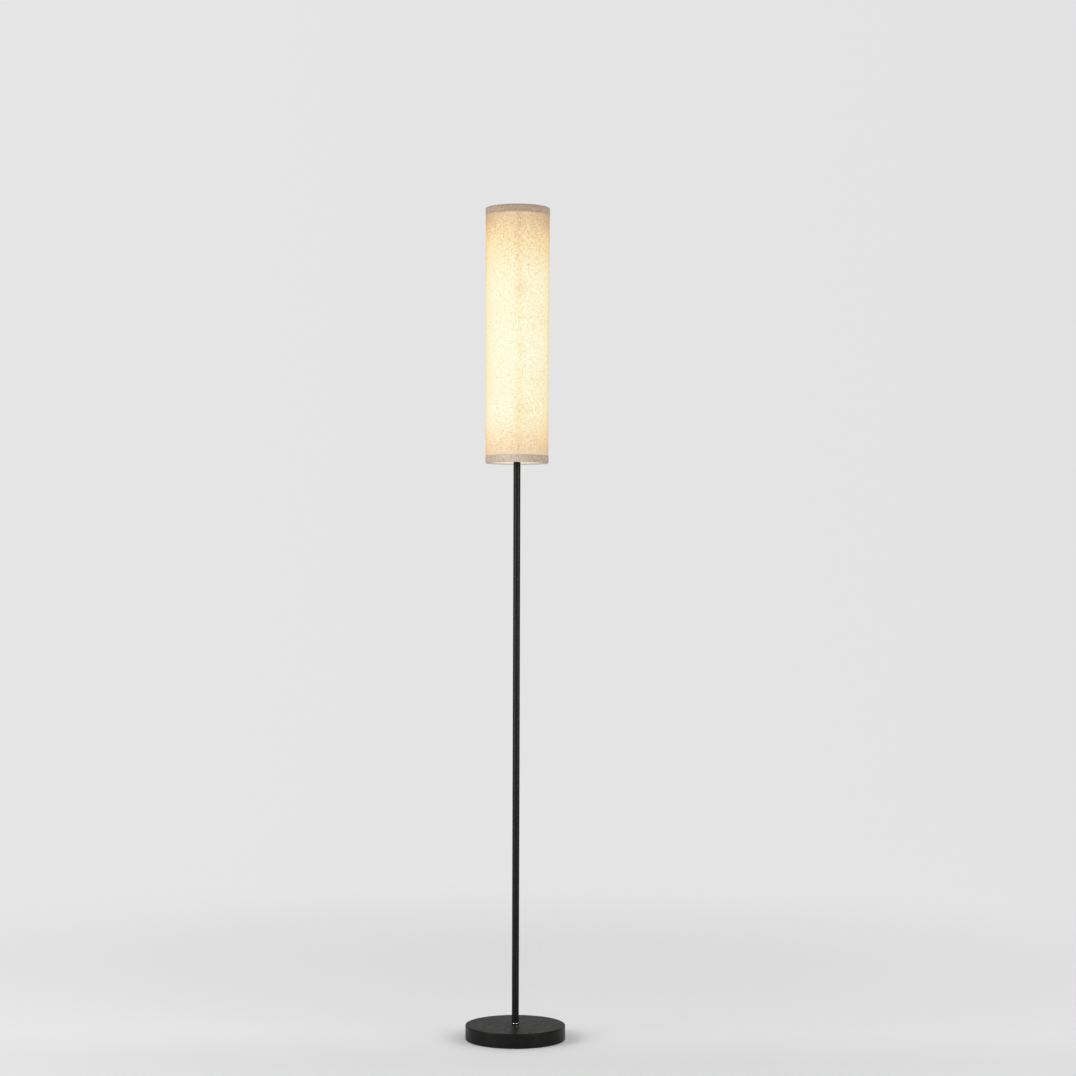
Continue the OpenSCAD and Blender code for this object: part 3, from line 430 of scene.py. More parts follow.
# ------------------------------------------------------------ lampholders
# In each black cup sits a pressed and glazed ceramic core, and on it the screw shell, rolled
# from thin strip and nickel plated, as the bulb's screw cap is.
dress(plate("nickel_strip", (0.55, 0.53, 0.49), (0.80, 0.78, 0.74), 0.18),
      "screw_shell_1", "screw_shell_2", "screw_shell_3", "bulb_cap_1", "bulb_cap_2", "bulb_cap_3")

ceramic, tree, shader, place = finish("glazed_ceramic", **{"Coat Weight": 0.6, "Coat Roughness": 0.15})
glaze = use(tree, grain, Place=place, Grain=0.0009)
feed(tree, shader, {
    "Base Color": blend_colour(tree, glaze["Tone"], (0.72, 0.69, 0.62), (0.82, 0.80, 0.74)),
    "Roughness": spread(tree, glaze["Tone"], 0, 1, 0.25, 0.4),
})
emboss(tree, shader, glaze["Height"], 0.00006, 0.4)
dress(ceramic, "holder_core_1", "holder_core_2", "holder_core_3")

# ------------------------------------------------------------------- leads
# The supply lead and the thinner leads to the switch and the lampholders have a soft black
# sheath, drawn over their cores, so that fine lines run along it.
sheath, tree, shader, place = finish("lead_sheath", **{"Specular IOR Level": 0.35})
stretched = put(tree, "ShaderNodeMapping", {"Vector": place, "Scale": (1.0, 1.0, 0.04)}).outputs[0]
lines = cloud(tree, stretched, 2600.0, 3.0, 0.6, 2.0)
feed(tree, shader, {
    "Base Color": blend_colour(tree, lines, (0.014, 0.014, 0.015), (0.030, 0.030, 0.031)),
    "Roughness": spread(tree, lines, 0.3, 0.7, 0.42, 0.55),
})
emboss(tree, shader, lines, 0.00004, 0.5)
dress(sheath, "supply_lead", "inner_leads")

# ------------------------------------------------------------------- bulbs
# Three opal globes of blown glass on moulded bodies, all lit. The light is even, but a little
# weaker and warmer towards one end of each globe, where the glass is thicker.
bulb_spots = [(-0.032, 0.0, 1.2466), (0.016, -0.0277, 1.3646), (0.016, 0.0277, 1.4826)]
bulb_pitch, globe_r = 0.118, 0.0225
opal, tree, shader, place = finish("opal_glass", Roughness=0.22,
                                   **{"Emission Strength": 2.1, "Coat Weight": 0.3})
z = parts_of(tree, place)[2]
in_pitch = sum_up(tree, "PINGPONG", minus(tree, z, bulb_spots[0][2] - bulb_pitch / 2), bulb_pitch)
haze = cloud(tree, place, 60.0, 2.0, 0.5, 3.0)
level = plus(tree, divided(tree, minus(tree, in_pitch, bulb_pitch / 2 - globe_r), 2 * globe_r),
               times(tree, minus(tree, haze, 0.5), 0.15))
feed(tree, shader, {
    "Base Color": blend_colour(tree, haze, (0.82, 0.80, 0.74), (0.90, 0.88, 0.83)),
    "Emission Color": blend_colour(tree, spread(tree, level, 0.0, 0.45, soft=True),
                                   (0.72, 0.50, 0.26), (1.0, 0.86, 0.62)),
})
dress(opal, "bulb_globe_1", "bulb_globe_2", "bulb_globe_3")

# ----------------------------------------------------------- light in cloth
# Light from the three bulbs, painted into the cloth, fills the shade: most where a globe is near,
# less where the riser stands in front of one, with a painted shadow of the riser down the front
# just right of the middle, more on the left than on the right, evened out by the pale lining, and
# failing towards both ends and in the corners. Thick yarn lets less of it through.


def hump(tree, value):
    """1 where a value is 0, and falling away softly to both sides."""
    return sum_up(tree, "EXPONENT", times(tree, times(tree, value, value), -1.0))


shade_low = 1.1416
glow, given, made = recipe("bulb_glow",
                           [("Place", VECTOR, None), ("Thickness", NUMBER, 0.0), ("Strength", NUMBER, 1.85)],
                           [("Light", NUMBER)])
x, y, z = parts_of(glow, given["Place"])
direct, riser_shade = 0.0, 0.0
for bx, by, bz in bulb_spots:
    near = vector_sum(glow, "DISTANCE", given["Place"], (0.2 * bx, 0.2 * by, bz), result=1)
    direct = plus(glow, direct, sum_up(glow, "POWER", divided(glow, 0.064, near), 3.0))
    off_shade = vector_sum(glow, "SUBTRACT", given["Place"], (0.009, -0.062, bz))
    off_shade = vector_sum(glow, "MULTIPLY", off_shade, (48.0, 10.0, 45.0))
    riser_shade = plus(glow, riser_shade, hump(glow, vector_sum(glow, "LENGTH", off_shade, result=1)))
up_shade = spread(glow, z, shade_low, 1.665)
spilled = times_plus(glow, sum_up(glow, "SINE", times(glow, up_shade, math.pi)), 0.75, 0.25)
lit = plus(glow, direct, spilled)
# painted light: the cloth glows more on the left side than on the right
lit_more_on_left = times_plus(glow, x, -1.6, 1.0)
# painted shadow of the riser: a soft dark streak down the front, just right of the middle
front = spread(glow, y, 0.0, -0.03)
off_line = divided(glow, minus(glow, x, 0.003), 0.0075)
riser_shadow_streak = times(glow, front, hump(glow, off_line))
lit = times(glow, lit, times(glow, lit_more_on_left, times_plus(glow, riser_shadow_streak, -0.25, 1.0)))
lit = times(glow, lit, times_plus(glow, riser_shade, -0.36, 1.0))
ends = plus(glow, spread(glow, z, 1.200, 1.156, 0.0, 0.26, soft=True),
            spread(glow, z, 1.575, 1.640, 0.0, 0.62, soft=True))
sides = times(glow, times(glow, x, x), 256.0, clamp=True)
lit = times(glow, lit, times_plus(glow, times(glow, ends, sides), -1.0, 1.0))
through = times_plus(glow, given["Thickness"], -1.0, 1.0)
depth = times(glow, times(glow, lit, through), given["Strength"])
feed(glow, made, {"Light": minus(glow, 1.0, sum_up(glow, "EXPONENT", times(glow, depth, -1.0)), clamp=True)})


def warm_up(tree, light, stops):
    """The colour of cloth at each level of light behind it."""
    ramp = put(tree, "ShaderNodeValToRGB", {0: light})
    while len(ramp.color_ramp.elements) < len(stops):
        ramp.color_ramp.elements.new(0.5)
    for held, (at, colour) in zip(ramp.color_ramp.elements, stops):
        held.position = at
        held.color = (*colour, 1.0)
    return ramp.outputs[0]


# ----------------------------------------------------------- shade's lining
# The linen is bonded to a stiff sheet of off-white styrene, rolled into a tube. Its inside is
# plain and smooth, and glows evenly in the light of the bulbs.
lining, tree, shader, place = finish("styrene_lining", Roughness=0.45,
                                     **{"Specular IOR Level": 0.35, "Emission Strength": 0.38})
sheet_skin = use(tree, grain, Place=place, Grain=0.0012)
faint_grain = times(tree, sheet_skin["Height"], 0.12)
inner_light = use(tree, glow, Place=place, Thickness=faint_grain, Strength=1.1)["Light"]
feed(tree, shader, {
    "Base Color": blend_colour(tree, sheet_skin["Tone"], (0.62, 0.58, 0.50), (0.68, 0.64, 0.56)),
    "Emission Color": warm_up(tree, inner_light, [
        (0.0, (0.30, 0.25, 0.17)), (0.4, (0.70, 0.61, 0.44)), (0.8, (0.92, 0.84, 0.62)),
        (1.0, (1.0, 0.94, 0.74))]),
})
emboss(tree, shader, sheet_skin["Height"], 0.00004, 0.5)
dress(lining, "shade_panel")

# --------------------------------------------------------------- linen skin
# Natural linen in a plain weave of uneven yarn, thick and thin by turns, wrapped once round
# the styrene and bonded to it. Slubs, where the yarn swells, stand out and show dark.
weave, given, made = recipe("linen_weave", [("Cloth", VECTOR, None), ("Yarn", NUMBER, 0.0009)],
                            [("Height", NUMBER), ("Thickness", NUMBER), ("Tone", NUMBER)])
stray = put(weave, "ShaderNodeTexNoise", {"Vector": given["Cloth"], "Scale": 55.0, "Detail": 3.0}).outputs[1]
stray = scaled(weave, vector_sum(weave, "SUBTRACT", stray, (0.5, 0.5, 0.5)), 0.0016)
cloth_place = vector_sum(weave, "ADD", given["Cloth"], stray)
u, v, _ = parts_of(weave, cloth_place)
rows = []
for across, along, turn_over in ((u, v, 0.0), (v, u, 1.0)):
    count = divided(weave, across, given["Yarn"])
    own = sum_up(weave, "FLOOR", count)
    body_of_yarn = sum_up(weave, "SINE", times(weave, sum_up(weave, "FRACT", count), math.pi))
    crossing = plus(weave, divided(weave, along, given["Yarn"]), plus(weave, own, turn_over))
    lift = times_plus(weave, sum_up(weave, "COSINE", times(weave, crossing, math.pi)), 0.5, 0.5)
    track = point(weave, times(weave, own, 7.31), times(weave, along, 90.0), turn_over * 5.0 + 2.0)
    swell = put(weave, "ShaderNodeTexNoise",
                {"Vector": track, "Scale": 1.0, "Detail": 3.0, "Roughness": 0.65}).outputs[0]
    rows.append((times(weave, body_of_yarn, times_plus(weave, lift, 0.6, 0.4)), swell, body_of_yarn))
(warp, warp_swell, warp_body), (weft, weft_swell, weft_body) = rows
relief = sum_up(weave, "MAXIMUM", times(weave, warp, plus(weave, warp_swell, 0.5)),
                times(weave, weft, plus(weave, weft_swell, 0.5)))
both = plus(weave, times(weave, spread(weave, warp_swell, 0.35, 0.75), times_plus(weave, warp_body, 0.6, 0.4)),
            times(weave, spread(weave, weft_swell, 0.35, 0.75), times_plus(weave, weft_body, 0.6, 0.4)))
streaks = []
for drawn_out, seed in (((420.0, 125.0, 1.0), 8.0), ((125.0, 420.0, 1.0), 12.0)):
    long_place = vector_sum(weave, "MULTIPLY", given["Cloth"], drawn_out)
    streaks.append(spread(weave, cloud(weave, long_place, 1.0, 2.0, 0.6, seed), 0.3, 0.7))
patch = times(weave, plus(weave, *streaks), 0.5)
feed(weave, made, {
    "Height": times(weave, relief, 0.9),
    "Thickness": times_plus(weave, patch, 1.35, times_plus(weave, both, 0.5, -0.25)),
    "Tone": times_plus(weave, warp_swell, 0.5, times(weave, weft_swell, 0.5)),
})

linen, tree, shader, place = finish("natural_linen", Roughness=0.9, **{
    "Specular IOR Level": 0.15, "Emission Strength": 1.0, "Sheen Weight": 0.08, "Sheen Roughness": 0.6,
    "Coat Weight": 1.0, "Coat IOR": 1.02, "Coat Roughness": 1.0, "Coat Tint": (0.976, 0.920, 0.840, 1.0)})
chart = put(tree, "ShaderNodeAttribute", attribute_name="cloth").outputs["Vector"]
slubbed = put(tree, "ShaderNodeAttribute", attribute_name="slub").outputs["Fac"]
yarns = use(tree, weave, Cloth=chart)
thick = plus(tree, minus(tree, yarns["Thickness"], 0.75), times(tree, slubbed, 0.5))
light = use(tree, glow, Place=place, Thickness=times(tree, thick, 0.8))["Light"]
browning = vector_sum(tree, "MULTIPLY", point(tree, thick, thick, thick), (0.34, 0.38, 0.62))
browned = vector_sum(tree, "SUBTRACT", (1.014, 1.048, 1.09), browning)
# painted light: near the bottom the cloth glows paler and less yellow, lit by the pale floor
lit_low_end = spread(tree, parts_of(tree, place)[2], 1.23, 1.15, to_high=0.5)
flax = blend_colour(tree, spread(tree, yarns["Tone"], 0.35, 0.65), (0.20, 0.165, 0.13), (0.45, 0.372, 0.295))
inner_light = warm_up(tree, light, [
    (0.0, (0.0, 0.0, 0.0)), (0.54, (0.319, 0.22, 0.11)), (0.64, (0.429, 0.308, 0.143)),
    (0.70, (0.486, 0.368, 0.177)), (0.78, (0.535, 0.44, 0.22)), (0.83, (0.544, 0.485, 0.265)),
    (0.88, (0.552, 0.532, 0.337)), (0.925, (0.569, 0.575, 0.38)), (0.95, (0.572, 0.607, 0.447)),
    (0.97, (0.580, 0.622, 0.475)), (1.0, (0.584, 0.648, 0.525))])
feed(tree, shader, {
    "Base Color": blend_colour(tree, times(tree, slubbed, 0.5), flax, (0.26, 0.20, 0.15)),
    "Emission Color": blend_colour(tree, lit_low_end, vector_sum(tree, "MULTIPLY", inner_light, browned),
                                   (0.495, 0.435, 0.36)),
})
emboss(tree, shader, yarns["Height"], 0.00025, 0.8)

cloth_low, cloth_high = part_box("shade_skin")
cloth_h, cloth_t = cloth_high.z - cloth_low.z, 0.0005
bottom_r, top_r = 0.06222, cloth_high.x
around_cloth = math.pi * (bottom_r + top_r)


def shape_tree(name, inputs):
    """An empty geometry tree with its named sizes, and the numbers of its sockets."""
    tree = bpy.data.node_groups.new(name, "GeometryNodeTree")
    tree.interface.new_socket("Geometry", in_out="INPUT", socket_type="NodeSocketGeometry")
    tree.interface.new_socket("Geometry", in_out="OUTPUT", socket_type="NodeSocketGeometry")
    names = {}
    for label, sort, value in inputs:
        socket = tree.interface.new_socket(label, in_out="INPUT", socket_type=sort)
        names[label] = (socket.identifier, value)
    return tree, tree.nodes.new("NodeGroupInput").outputs, tree.nodes.new("NodeGroupOutput"), names


def grow(name, tree, names):
    """Runs a geometry tree with its sizes and keeps the plain mesh that it makes."""
    piece = bpy.data.objects.new(name, bpy.data.meshes.new(name))
    bpy.context.scene.collection.objects.link(piece)
    worker = piece.modifiers.new("shape", "NODES")
    worker.node_group = tree
    for identifier, value in names.values():
        worker[identifier] = value
    return bake_down(piece)


def round_the_drum(tree, sizes, u, v, out=0.0):
    """Points of flat cloth, u round and v up from 0 to 1, carried to the drum, starting at the back."""
    angle = times_plus(tree, u, 2 * math.pi, math.pi / 2)
    widening = minus(tree, sizes["Top Radius"], sizes["Bottom Radius"])
    radius = plus(tree, times_plus(tree, v, widening, sizes["Bottom Radius"]), out)
    return point(tree, times(tree, radius, sum_up(tree, "COSINE", angle)),
                 times(tree, radius, sum_up(tree, "SINE", angle)),
                 times_plus(tree, v, sizes["Height"], sizes["Low"]))


def label(tree, shape, name, value, sort, domain):
    """Keeps a value with a shape under a name, for its material to read."""
    return put(tree, "GeometryNodeStoreNamedAttribute", {"Geometry": shape, "Name": name, "Value": value},
               data_type=sort, domain=domain).outputs[0]


def send_out(tree, made, shape, material):
    """Hands over a shape as smooth plain mesh in its material."""
    smooth = put(tree, "GeometryNodeSetShadeSmooth", {"Geometry": shape})
    plain = put(tree, "GeometryNodeRealizeInstances", {"Geometry": smooth.outputs[0]})
    coated = put(tree, "GeometryNodeSetMaterial", {"Geometry": plain.outputs[0], "Material": material})
    feed(tree, made, {"Geometry": coated.outputs[0]})


drum_sizes = [("Bottom Radius", NUMBER, bottom_r), ("Top Radius", NUMBER, top_r), ("Low", NUMBER, cloth_low.z),
              ("Height", NUMBER, cloth_h), ("Round", NUMBER, around_cloth)]
tree, sizes, made, names = shape_tree("wrapped_linen", drum_sizes + [
    ("Steps Round", "NodeSocketInt", 221), ("Steps Up", "NodeSocketInt", 201), ("Relief", NUMBER, 0.00018),
    ("Finish", "NodeSocketMaterial", linen)])
flat = put(tree, "GeometryNodeMeshGrid", {"Size X": 1.0, "Size Y": 1.0, "Vertices X": sizes["Steps Round"],
                                          "Vertices Y": sizes["Steps Up"]})
x, y, _ = parts_of(tree, put(tree, "GeometryNodeInputPosition").outputs[0])
u, v = plus(tree, x, 0.5), plus(tree, y, 0.5)
chart = point(tree, times(tree, u, sizes["Round"]), times(tree, v, sizes["Height"]))
mapped = label(tree, flat.outputs[0], "cloth", chart, "FLOAT2", "CORNER")
ribs = cloud(tree, vector_sum(tree, "MULTIPLY", chart, (420.0, 30.0, 1.0)), 1.0, 2.0, 0.5, 1.0)
bars = cloud(tree, vector_sum(tree, "MULTIPLY", chart, (30.0, 420.0, 1.0)), 1.0, 2.0, 0.5, 6.0)
swelling = times(tree, minus(tree, plus(tree, ribs, bars), 1.0), sizes["Relief"])
rolled = put(tree, "GeometryNodeSetPosition",
             {"Geometry": mapped, "Position": round_the_drum(tree, sizes, u, v, swelling)})
joined = put(tree, "GeometryNodeMergeByDistance", {"Geometry": rolled.outputs[0], "Distance": 0.0001})
send_out(tree, made, joined.outputs[0], sizes["Finish"])
skin = grow("linen_skin", tree, names)
wall = skin.modifiers.new("wall", "SOLIDIFY")
wall.thickness = cloth_t
wall.offset = -1
settle(bake_down(skin), "shade", linen, "linen", "shade_skin")

# slubs: short thick places in single yarns, half of them upright and half level
tree, sizes, made, names = shape_tree("yarn_slubs", drum_sizes + [
    ("Count", "NodeSocketInt", 620), ("Longest", NUMBER, 0.026), ("Thickness", NUMBER, 0.00032),
    ("Seed", "NodeSocketInt", 11), ("Finish", "NodeSocketMaterial", linen)])
spots = put(tree, "GeometryNodePoints", {"Count": sizes["Count"]})
seeded = [plus(tree, sizes["Seed"], k) for k in range(3)]
where = put(tree, "FunctionNodeRandomValue", {0: (0.01, 0.01, 0.0), 1: (0.99, 0.99, 0.0), "Seed": seeded[0]},
            data_type="FLOAT_VECTOR").outputs[0]
flat_at = vector_sum(tree, "MULTIPLY", where, point(tree, sizes["Round"], sizes["Height"]))
spots = put(tree, "GeometryNodeSetPosition", {"Geometry": spots.outputs[0], "Position": flat_at})
thread = put(tree, "GeometryNodeCurvePrimitiveLine", {"Start": (-0.5, 0, 0), "End": (0.5, 0, 0)})
upright = put(tree, "FunctionNodeRandomValue", {"Seed": seeded[1]}, data_type="BOOLEAN").outputs[3]
long = put(tree, "FunctionNodeRandomValue", {2: 0.2, 3: 1.0, "Seed": seeded[2]}, data_type="FLOAT").outputs[1]
laid = put(tree, "GeometryNodeInstanceOnPoints", {
    "Points": spots.outputs[0], "Instance": thread.outputs[0],
    "Rotation": point(tree, z=times(tree, upright, math.pi / 2)),
    "Scale": times(tree, times(tree, long, long), sizes["Longest"])})
strands = put(tree, "GeometryNodeRealizeInstances", {"Geometry": laid.outputs[0]})
strands = put(tree, "GeometryNodeResampleCurve", {"Curve": strands.outputs[0], "Count": 7})
flat_place = put(tree, "GeometryNodeInputPosition").outputs[0]
strands = label(tree, strands.outputs[0], "cloth", flat_place, "FLOAT_VECTOR", "POINT")
strands = label(tree, strands, "slub", 1.0, "FLOAT", "POINT")
x, y, _ = parts_of(tree, flat_place)
u = sum_up(tree, "MINIMUM", sum_up(tree, "MAXIMUM", divided(tree, x, sizes["Round"]), 0.0), 1.0)
v = sum_up(tree, "MINIMUM", sum_up(tree, "MAXIMUM", divided(tree, y, sizes["Height"]), 0.002), 0.998)
strands = put(tree, "GeometryNodeSetPosition",
              {"Geometry": strands, "Position": round_the_drum(tree, sizes, u, v)})
along = put(tree, "GeometryNodeSplineParameter").outputs[0]
taper = sum_up(tree, "SINE", times_plus(tree, along, math.pi * 0.96, math.pi * 0.02))
section = put(tree, "GeometryNodeCurvePrimitiveCircle", {"Resolution": 5, "Radius": 1.0})
spun = put(tree, "GeometryNodeCurveToMesh", {
    "Curve": strands.outputs[0], "Profile Curve": section.outputs[0],
    "Scale": times(tree, taper, sizes["Thickness"]), "Fill Caps": True})
send_out(tree, made, spun.outputs[0], sizes["Finish"])
slubs = settle(grow("linen_slubs", tree, names), "shade", linen, "linen", "shade_skin")

# -------------------------------------------------------------- shade's trims
# A strip of the same linen, doubled, is glued round each end. It turns over the edge and the
# wire and ends in a flap against the lining, and being three layers thick it stays grey.
# Painted light glows out of the bottom trim low down and on the left, and painted shade darkens
# the top trim's upper edge and the inside of the bottom lip.
trim_cloth, tree, shader, place = finish("linen_trim", Roughness=0.92, **{
    "Specular IOR Level": 0.15, "Emission Strength": 1.0, "Sheen Weight": 0.08, "Sheen Roughness": 0.6})
chart = put(tree, "ShaderNodeAttribute", attribute_name="cloth").outputs["Vector"]
yarns = use(tree, weave, Cloth=chart)
facing = put(tree, "ShaderNodeNewGeometry").outputs["Normal"]
outward = vector_sum(tree, "NORMALIZE", vector_sum(tree, "MULTIPLY", place, (1.0, 1.0, 0.0)))
inside = spread(tree, vector_sum(tree, "DOT_PRODUCT", facing, outward, result=1), 0.1, -0.5)
uneven = minus(tree, yarns["Thickness"], 0.75)
thick = times(tree, times_plus(tree, uneven, 0.5, 0.85), times_plus(tree, inside, -0.95, 1.0))
light = use(tree, glow, Place=place, Thickness=thick, Strength=0.5)["Light"]
x, _, z = parts_of(tree, place)
# painted light on the outside of the bottom trim: brightest low down and on the left
lit_left_side = times(tree, spread(tree, x, -0.02, 0.058, 1.0, 0.12), spread(tree, x, -0.062, -0.018, 0.2, 1.0))
lit_low_end = times(tree, spread(tree, z, 1.3, 1.2), lit_left_side)
# painted shade: a darker band along the top trim's upper edge, and a darker lip inside the bottom edge
painted_edge_shade = spread(tree, z, 1.6450, 1.6490, 1.0, 0.84)
shaded_lip = spread(tree, z, 1.1422, 1.1448, 0.3, 1.0)
flax = blend_colour(tree, spread(tree, yarns["Tone"], 0.4, 0.6), (0.276, 0.203, 0.144), (0.384, 0.299, 0.218))
outer_glow = scaled(tree, blend_colour(tree, lit_low_end, (0.0, 0.0, 0.0), (0.205, 0.205, 0.20)),
                    times_plus(tree, uneven, -1.0, 1.0))
inner_glow = warm_up(tree, light, [(0.0, (0.31, 0.29, 0.24)), (0.25, (0.79, 0.74, 0.62)),
                                   (0.5, (1.04, 1.0, 0.87))])
feed(tree, shader, {
    "Base Color": scaled(tree, flax, times(tree, painted_edge_shade, times_plus(tree, uneven, -0.5, 1.0))),
    "Emission Color": blend_colour(tree, inside, outer_glow, scaled(tree, inner_glow, shaded_lip)),
})
emboss(tree, shader, yarns["Height"], 0.0003, 0.8)

shade_h, shade_flare = 0.508, 0.0015
bottom_trim_r, top_trim_r = 0.06275, 0.06425
trim_w, trim_t, fold_r = 0.015, 0.0005, 0.0009
outer_build, styrene_t, lining_gap = 0.00106, 0.0009, 0.00003
wire_d, wire_gap = 0.0032, 0.00006
leg_h, flap_low, flap_high = 0.00375, 0.00695, 0.01133


def fold_round(points, radius, steps=5):
    """A path of points with each corner but the ends rounded."""
    path = [Vector(points[0])]
    for before, corner, after in zip(points, points[1:], points[2:]):
        corner = Vector(corner)
        way_in, way_out = Vector(before) - corner, Vector(after) - corner
        reach = min(radius, way_in.length / 2.1, way_out.length / 2.1)
        start, end = corner + way_in.normalized() * reach, corner + way_out.normalized() * reach
        for k in range(steps + 1):
            t = k / steps
            path.append((1 - t) ** 2 * start + 2 * t * (1 - t) * corner + t ** 2 * end)
    return path + [Vector(points[-1])]


def folded_trim(name, edge, inward, outer_r, node):
    """One trim: down the outside, over the edge, up round the wire and flat against the lining."""
    half = trim_t / 2
    leg_r = outer_r - outer_build - styrene_t - lining_gap - wire_d - wire_gap - half
    flap_r = outer_r - outer_build - styrene_t - lining_gap - half
    corners = [(outer_r - half, trim_w), (outer_r - half, half), (leg_r, half), (leg_r, leg_h),
               (flap_r, flap_low), (flap_r, flap_high)]
    corners = [(r, edge + inward * rise) for r, rise in corners]
    path = fold_round([(r + (z - edge) * shade_flare / shade_h, z) for r, z in corners], fold_r)
    fine = []
    for a, b in zip(path, path[1:]):
        steps = max(1, round((b - a).length / 0.0012))
        fine += [a.lerp(b, k / steps) for k in range(steps)]
    fine.append(path[-1])
    band = turn(name, [(p.x, p.y) for p in fine], 300, wobble=0.00010, cloth=True)
    if inward > 0:
        band.data.flip_normals()
    wall = band.modifiers.new("wall", "SOLIDIFY")
    wall.thickness = trim_t
    wall.offset = 0
    settle(bake_down(band), "shade", trim_cloth, "linen_trim", node)


edge_low, edge_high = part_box("shade_bottom_trim")[0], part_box("shade_top_trim")[1]
folded_trim("bottom_trim", edge_low.z, 1, bottom_trim_r, "shade_bottom_trim")
folded_trim("top_trim", edge_high.z, -1, top_trim_r, "shade_top_trim")

# ------------------------------------------------------------- back seam
# Down the back the two ends of the cloth meet under a strip of linen, folded to twelve
# millimetres with its raw edges turned in, and glued from trim to trim.
seam_low, seam_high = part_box("shade_seam")
seam_w, seam_t, seam_turn, below_trim = 0.012, 0.0004, 0.0012, 0.00047
seam_wander, seam_bead, seam_pucker = 0.00022, 0.00016, 0.00006
mesh = bpy.data.meshes.new("back_seam")
shape = bmesh.new()
chart = shape.loops.layers.uv.new("cloth")
across, up = 12, 150
grid = []
for j in range(up + 1):
    v = j / up
    z = seam_low.z + v * (seam_high.z - seam_low.z)
    linen_r = bottom_trim_r + (z - shade_low) / shade_h * shade_flare - below_trim
    row = []
    for i in range(across + 1):
        s = i / across * 2 - 1
        edge_wander = seam_wander * noise.noise(Vector((5.0 * math.copysign(1, s), z * 26, 0.5))) * abs(s)
        x = s * seam_w / 2 + edge_wander
        swell = seam_bead * max(0.0, 1 - abs(abs(s) * seam_w / 2 - seam_w / 2 + seam_turn) / seam_turn)
        r = linen_r + seam_t + swell + seam_pucker * noise.noise(Vector((x * 300, z * 90, 2.0)))
        angle = math.pi / 2 - x / r
        row.append(shape.verts.new((r * math.cos(angle), r * math.sin(angle), z)))
    grid.append(row)
for j in range(up):
    for i in range(across):
        face = shape.faces.new((grid[j][i], grid[j + 1][i], grid[j + 1][i + 1], grid[j][i + 1]))
        face.smooth = True
        for loop, (a, b) in zip(face.loops, ((i, j), (i, j + 1), (i + 1, j + 1), (i + 1, j))):
            loop[chart].uv = (0.5 + a * seam_w / across, 0.3 + b * (seam_high.z - seam_low.z) / up)
shape.to_mesh(mesh)
shape.free()
seam = bpy.data.objects.new("back_seam", mesh)
bpy.context.scene.collection.objects.link(seam)
wall = seam.modifiers.new("wall", "SOLIDIFY")
wall.thickness = seam_t
wall.offset = -1
settle(bake_down(seam), "shade", trim_cloth, "linen_trim", "shade_seam")

# ----------------------------------------------------------------- studio
# A pale paper sweep that glows evenly all round, a little light from overhead, and a broad box
# in front and above. To each side stand a fill box, which casts the soft shadows, and a narrow
# tall box for the gloss on the black.
sweep_r, curve_r, sweep_h = 4.9, 1.2, 5.2
outline = [(0.0, 0.0)] + [(sweep_r * s, 0.0) for s in (0.03, 0.06, 0.1, 0.15, 0.22, 0.3, 0.4, 0.5, 0.6, 0.7)]
for tilt in range(0, 91, 6):
    a = math.radians(tilt)
    outline.append((sweep_r - curve_r + curve_r * math.sin(a), curve_r - curve_r * math.cos(a)))
outline.append((sweep_r, sweep_h))
sweep = turn("paper_sweep", outline, 128)
sweep.data.flip_normals()
paper, tree, shader, place = finish("studio_paper", Roughness=0.95,
                                    **{"Specular IOR Level": 0.0, "Emission Strength": 1.0})
x, y, z = parts_of(tree, place)
out = vector_sum(tree, "LENGTH", place, result=1)
away = spread(tree, out, 0.35, 2.4, soft=True)
seen = put(tree, "ShaderNodeLightPath").outputs["Is Camera Ray"]
glossy = put(tree, "ShaderNodeLightPath").outputs["Is Glossy Ray"]
dark_sides = plus(tree, spread(tree, y, -1.2, -3.4, 0.12, 0.85, soft=True),
                  spread(tree, y, 1.5, 4.0, 0.0, 0.27, soft=True))
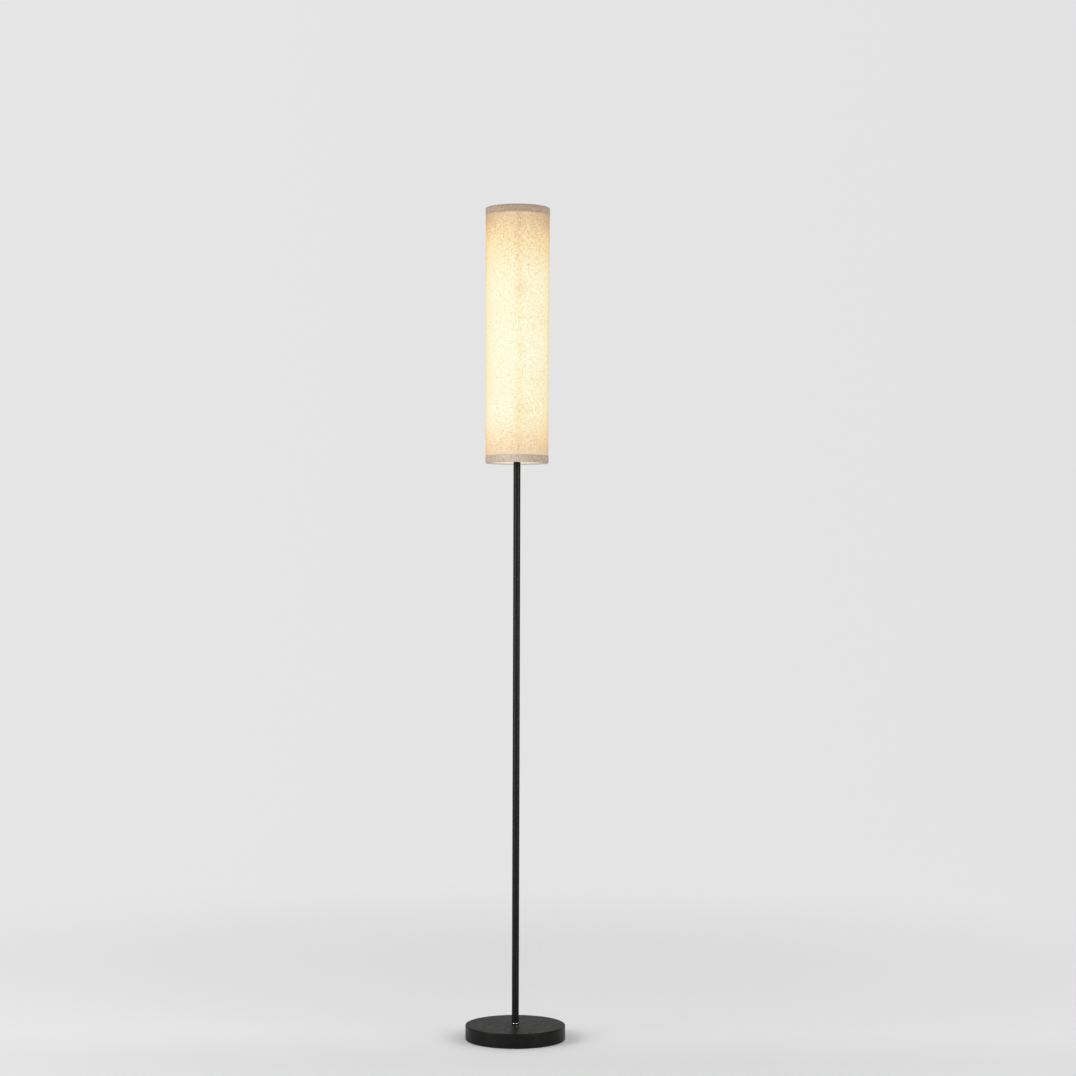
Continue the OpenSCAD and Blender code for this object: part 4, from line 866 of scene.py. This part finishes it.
room_glow = 1.14
room = times_plus(tree, glossy, minus(tree, dark_sides, room_glow), room_glow)
fibre = cloud(tree, place, 140.0, 3.0, 0.6, 1.0)
wall = times_plus(tree, x, -0.006, 0.778)
glowing = times_plus(tree, seen, minus(tree, wall, room), room)
glowing = times(tree, away, times(tree, glowing, times_plus(tree, fibre, 0.012, 0.994)))
# painted shade on the floor just in front of the lamp, darker towards the front
floor_front_shaded = blend_colour(tree, spread(tree, y, 0.10, -0.25, soft=True),
                      (0.785, 0.785, 0.785), (0.715, 0.715, 0.715))
feed(tree, shader, {
    "Base Color": blend_colour(tree, away, floor_front_shaded, (0.0, 0.0, 0.0)),
    "Emission Color": put(tree, "ShaderNodeCombineColor", {0: glowing, 1: glowing, 2: glowing}).outputs[0],
})
sweep.data.materials.append(paper)

for side, spot, wide, high, power, gloss in (
        ("gloss_left", (-2.07, -1.40, 1.3), 0.45, 2.3, 105.0, True),
        ("gloss_right", (2.07, -1.40, 1.3), 0.45, 2.3, 76.0, True),
        ("fill_left", (-2.6, -1.3, 1.7), 1.4, 1.8, 43.0, False),
        ("fill_right", (2.6, -1.3, 1.7), 1.4, 1.8, 27.0, False),
        ("front", (0.0, -2.9, 3.3), 2.4, 1.2, 11.0, False)):
    box = bpy.data.lights.new("soft_box_" + side, "AREA")
    box.shape = "RECTANGLE"
    box.size, box.size_y, box.energy = wide, high, power
    held = bpy.data.objects.new("soft_box_" + side, box)
    held.location = spot
    held.rotation_euler = (Vector((0, 0, 1.3)) - Vector(spot)).to_track_quat("-Z", "Y").to_euler()
    held.visible_camera = False
    held.visible_diffuse, held.visible_glossy = not gloss, gloss
    bpy.context.scene.collection.objects.link(held)

sky = bpy.data.worlds.new("overhead_light")
sky.use_nodes = True
feed(sky.node_tree, sky.node_tree.nodes["Background"], {"Color": (1.0, 1.0, 1.0, 1.0), "Strength": 0.12})
bpy.context.scene.world = sky
bpy.context.scene.view_settings.view_transform = "Standard"
bpy.context.scene.cycles.use_denoising = True
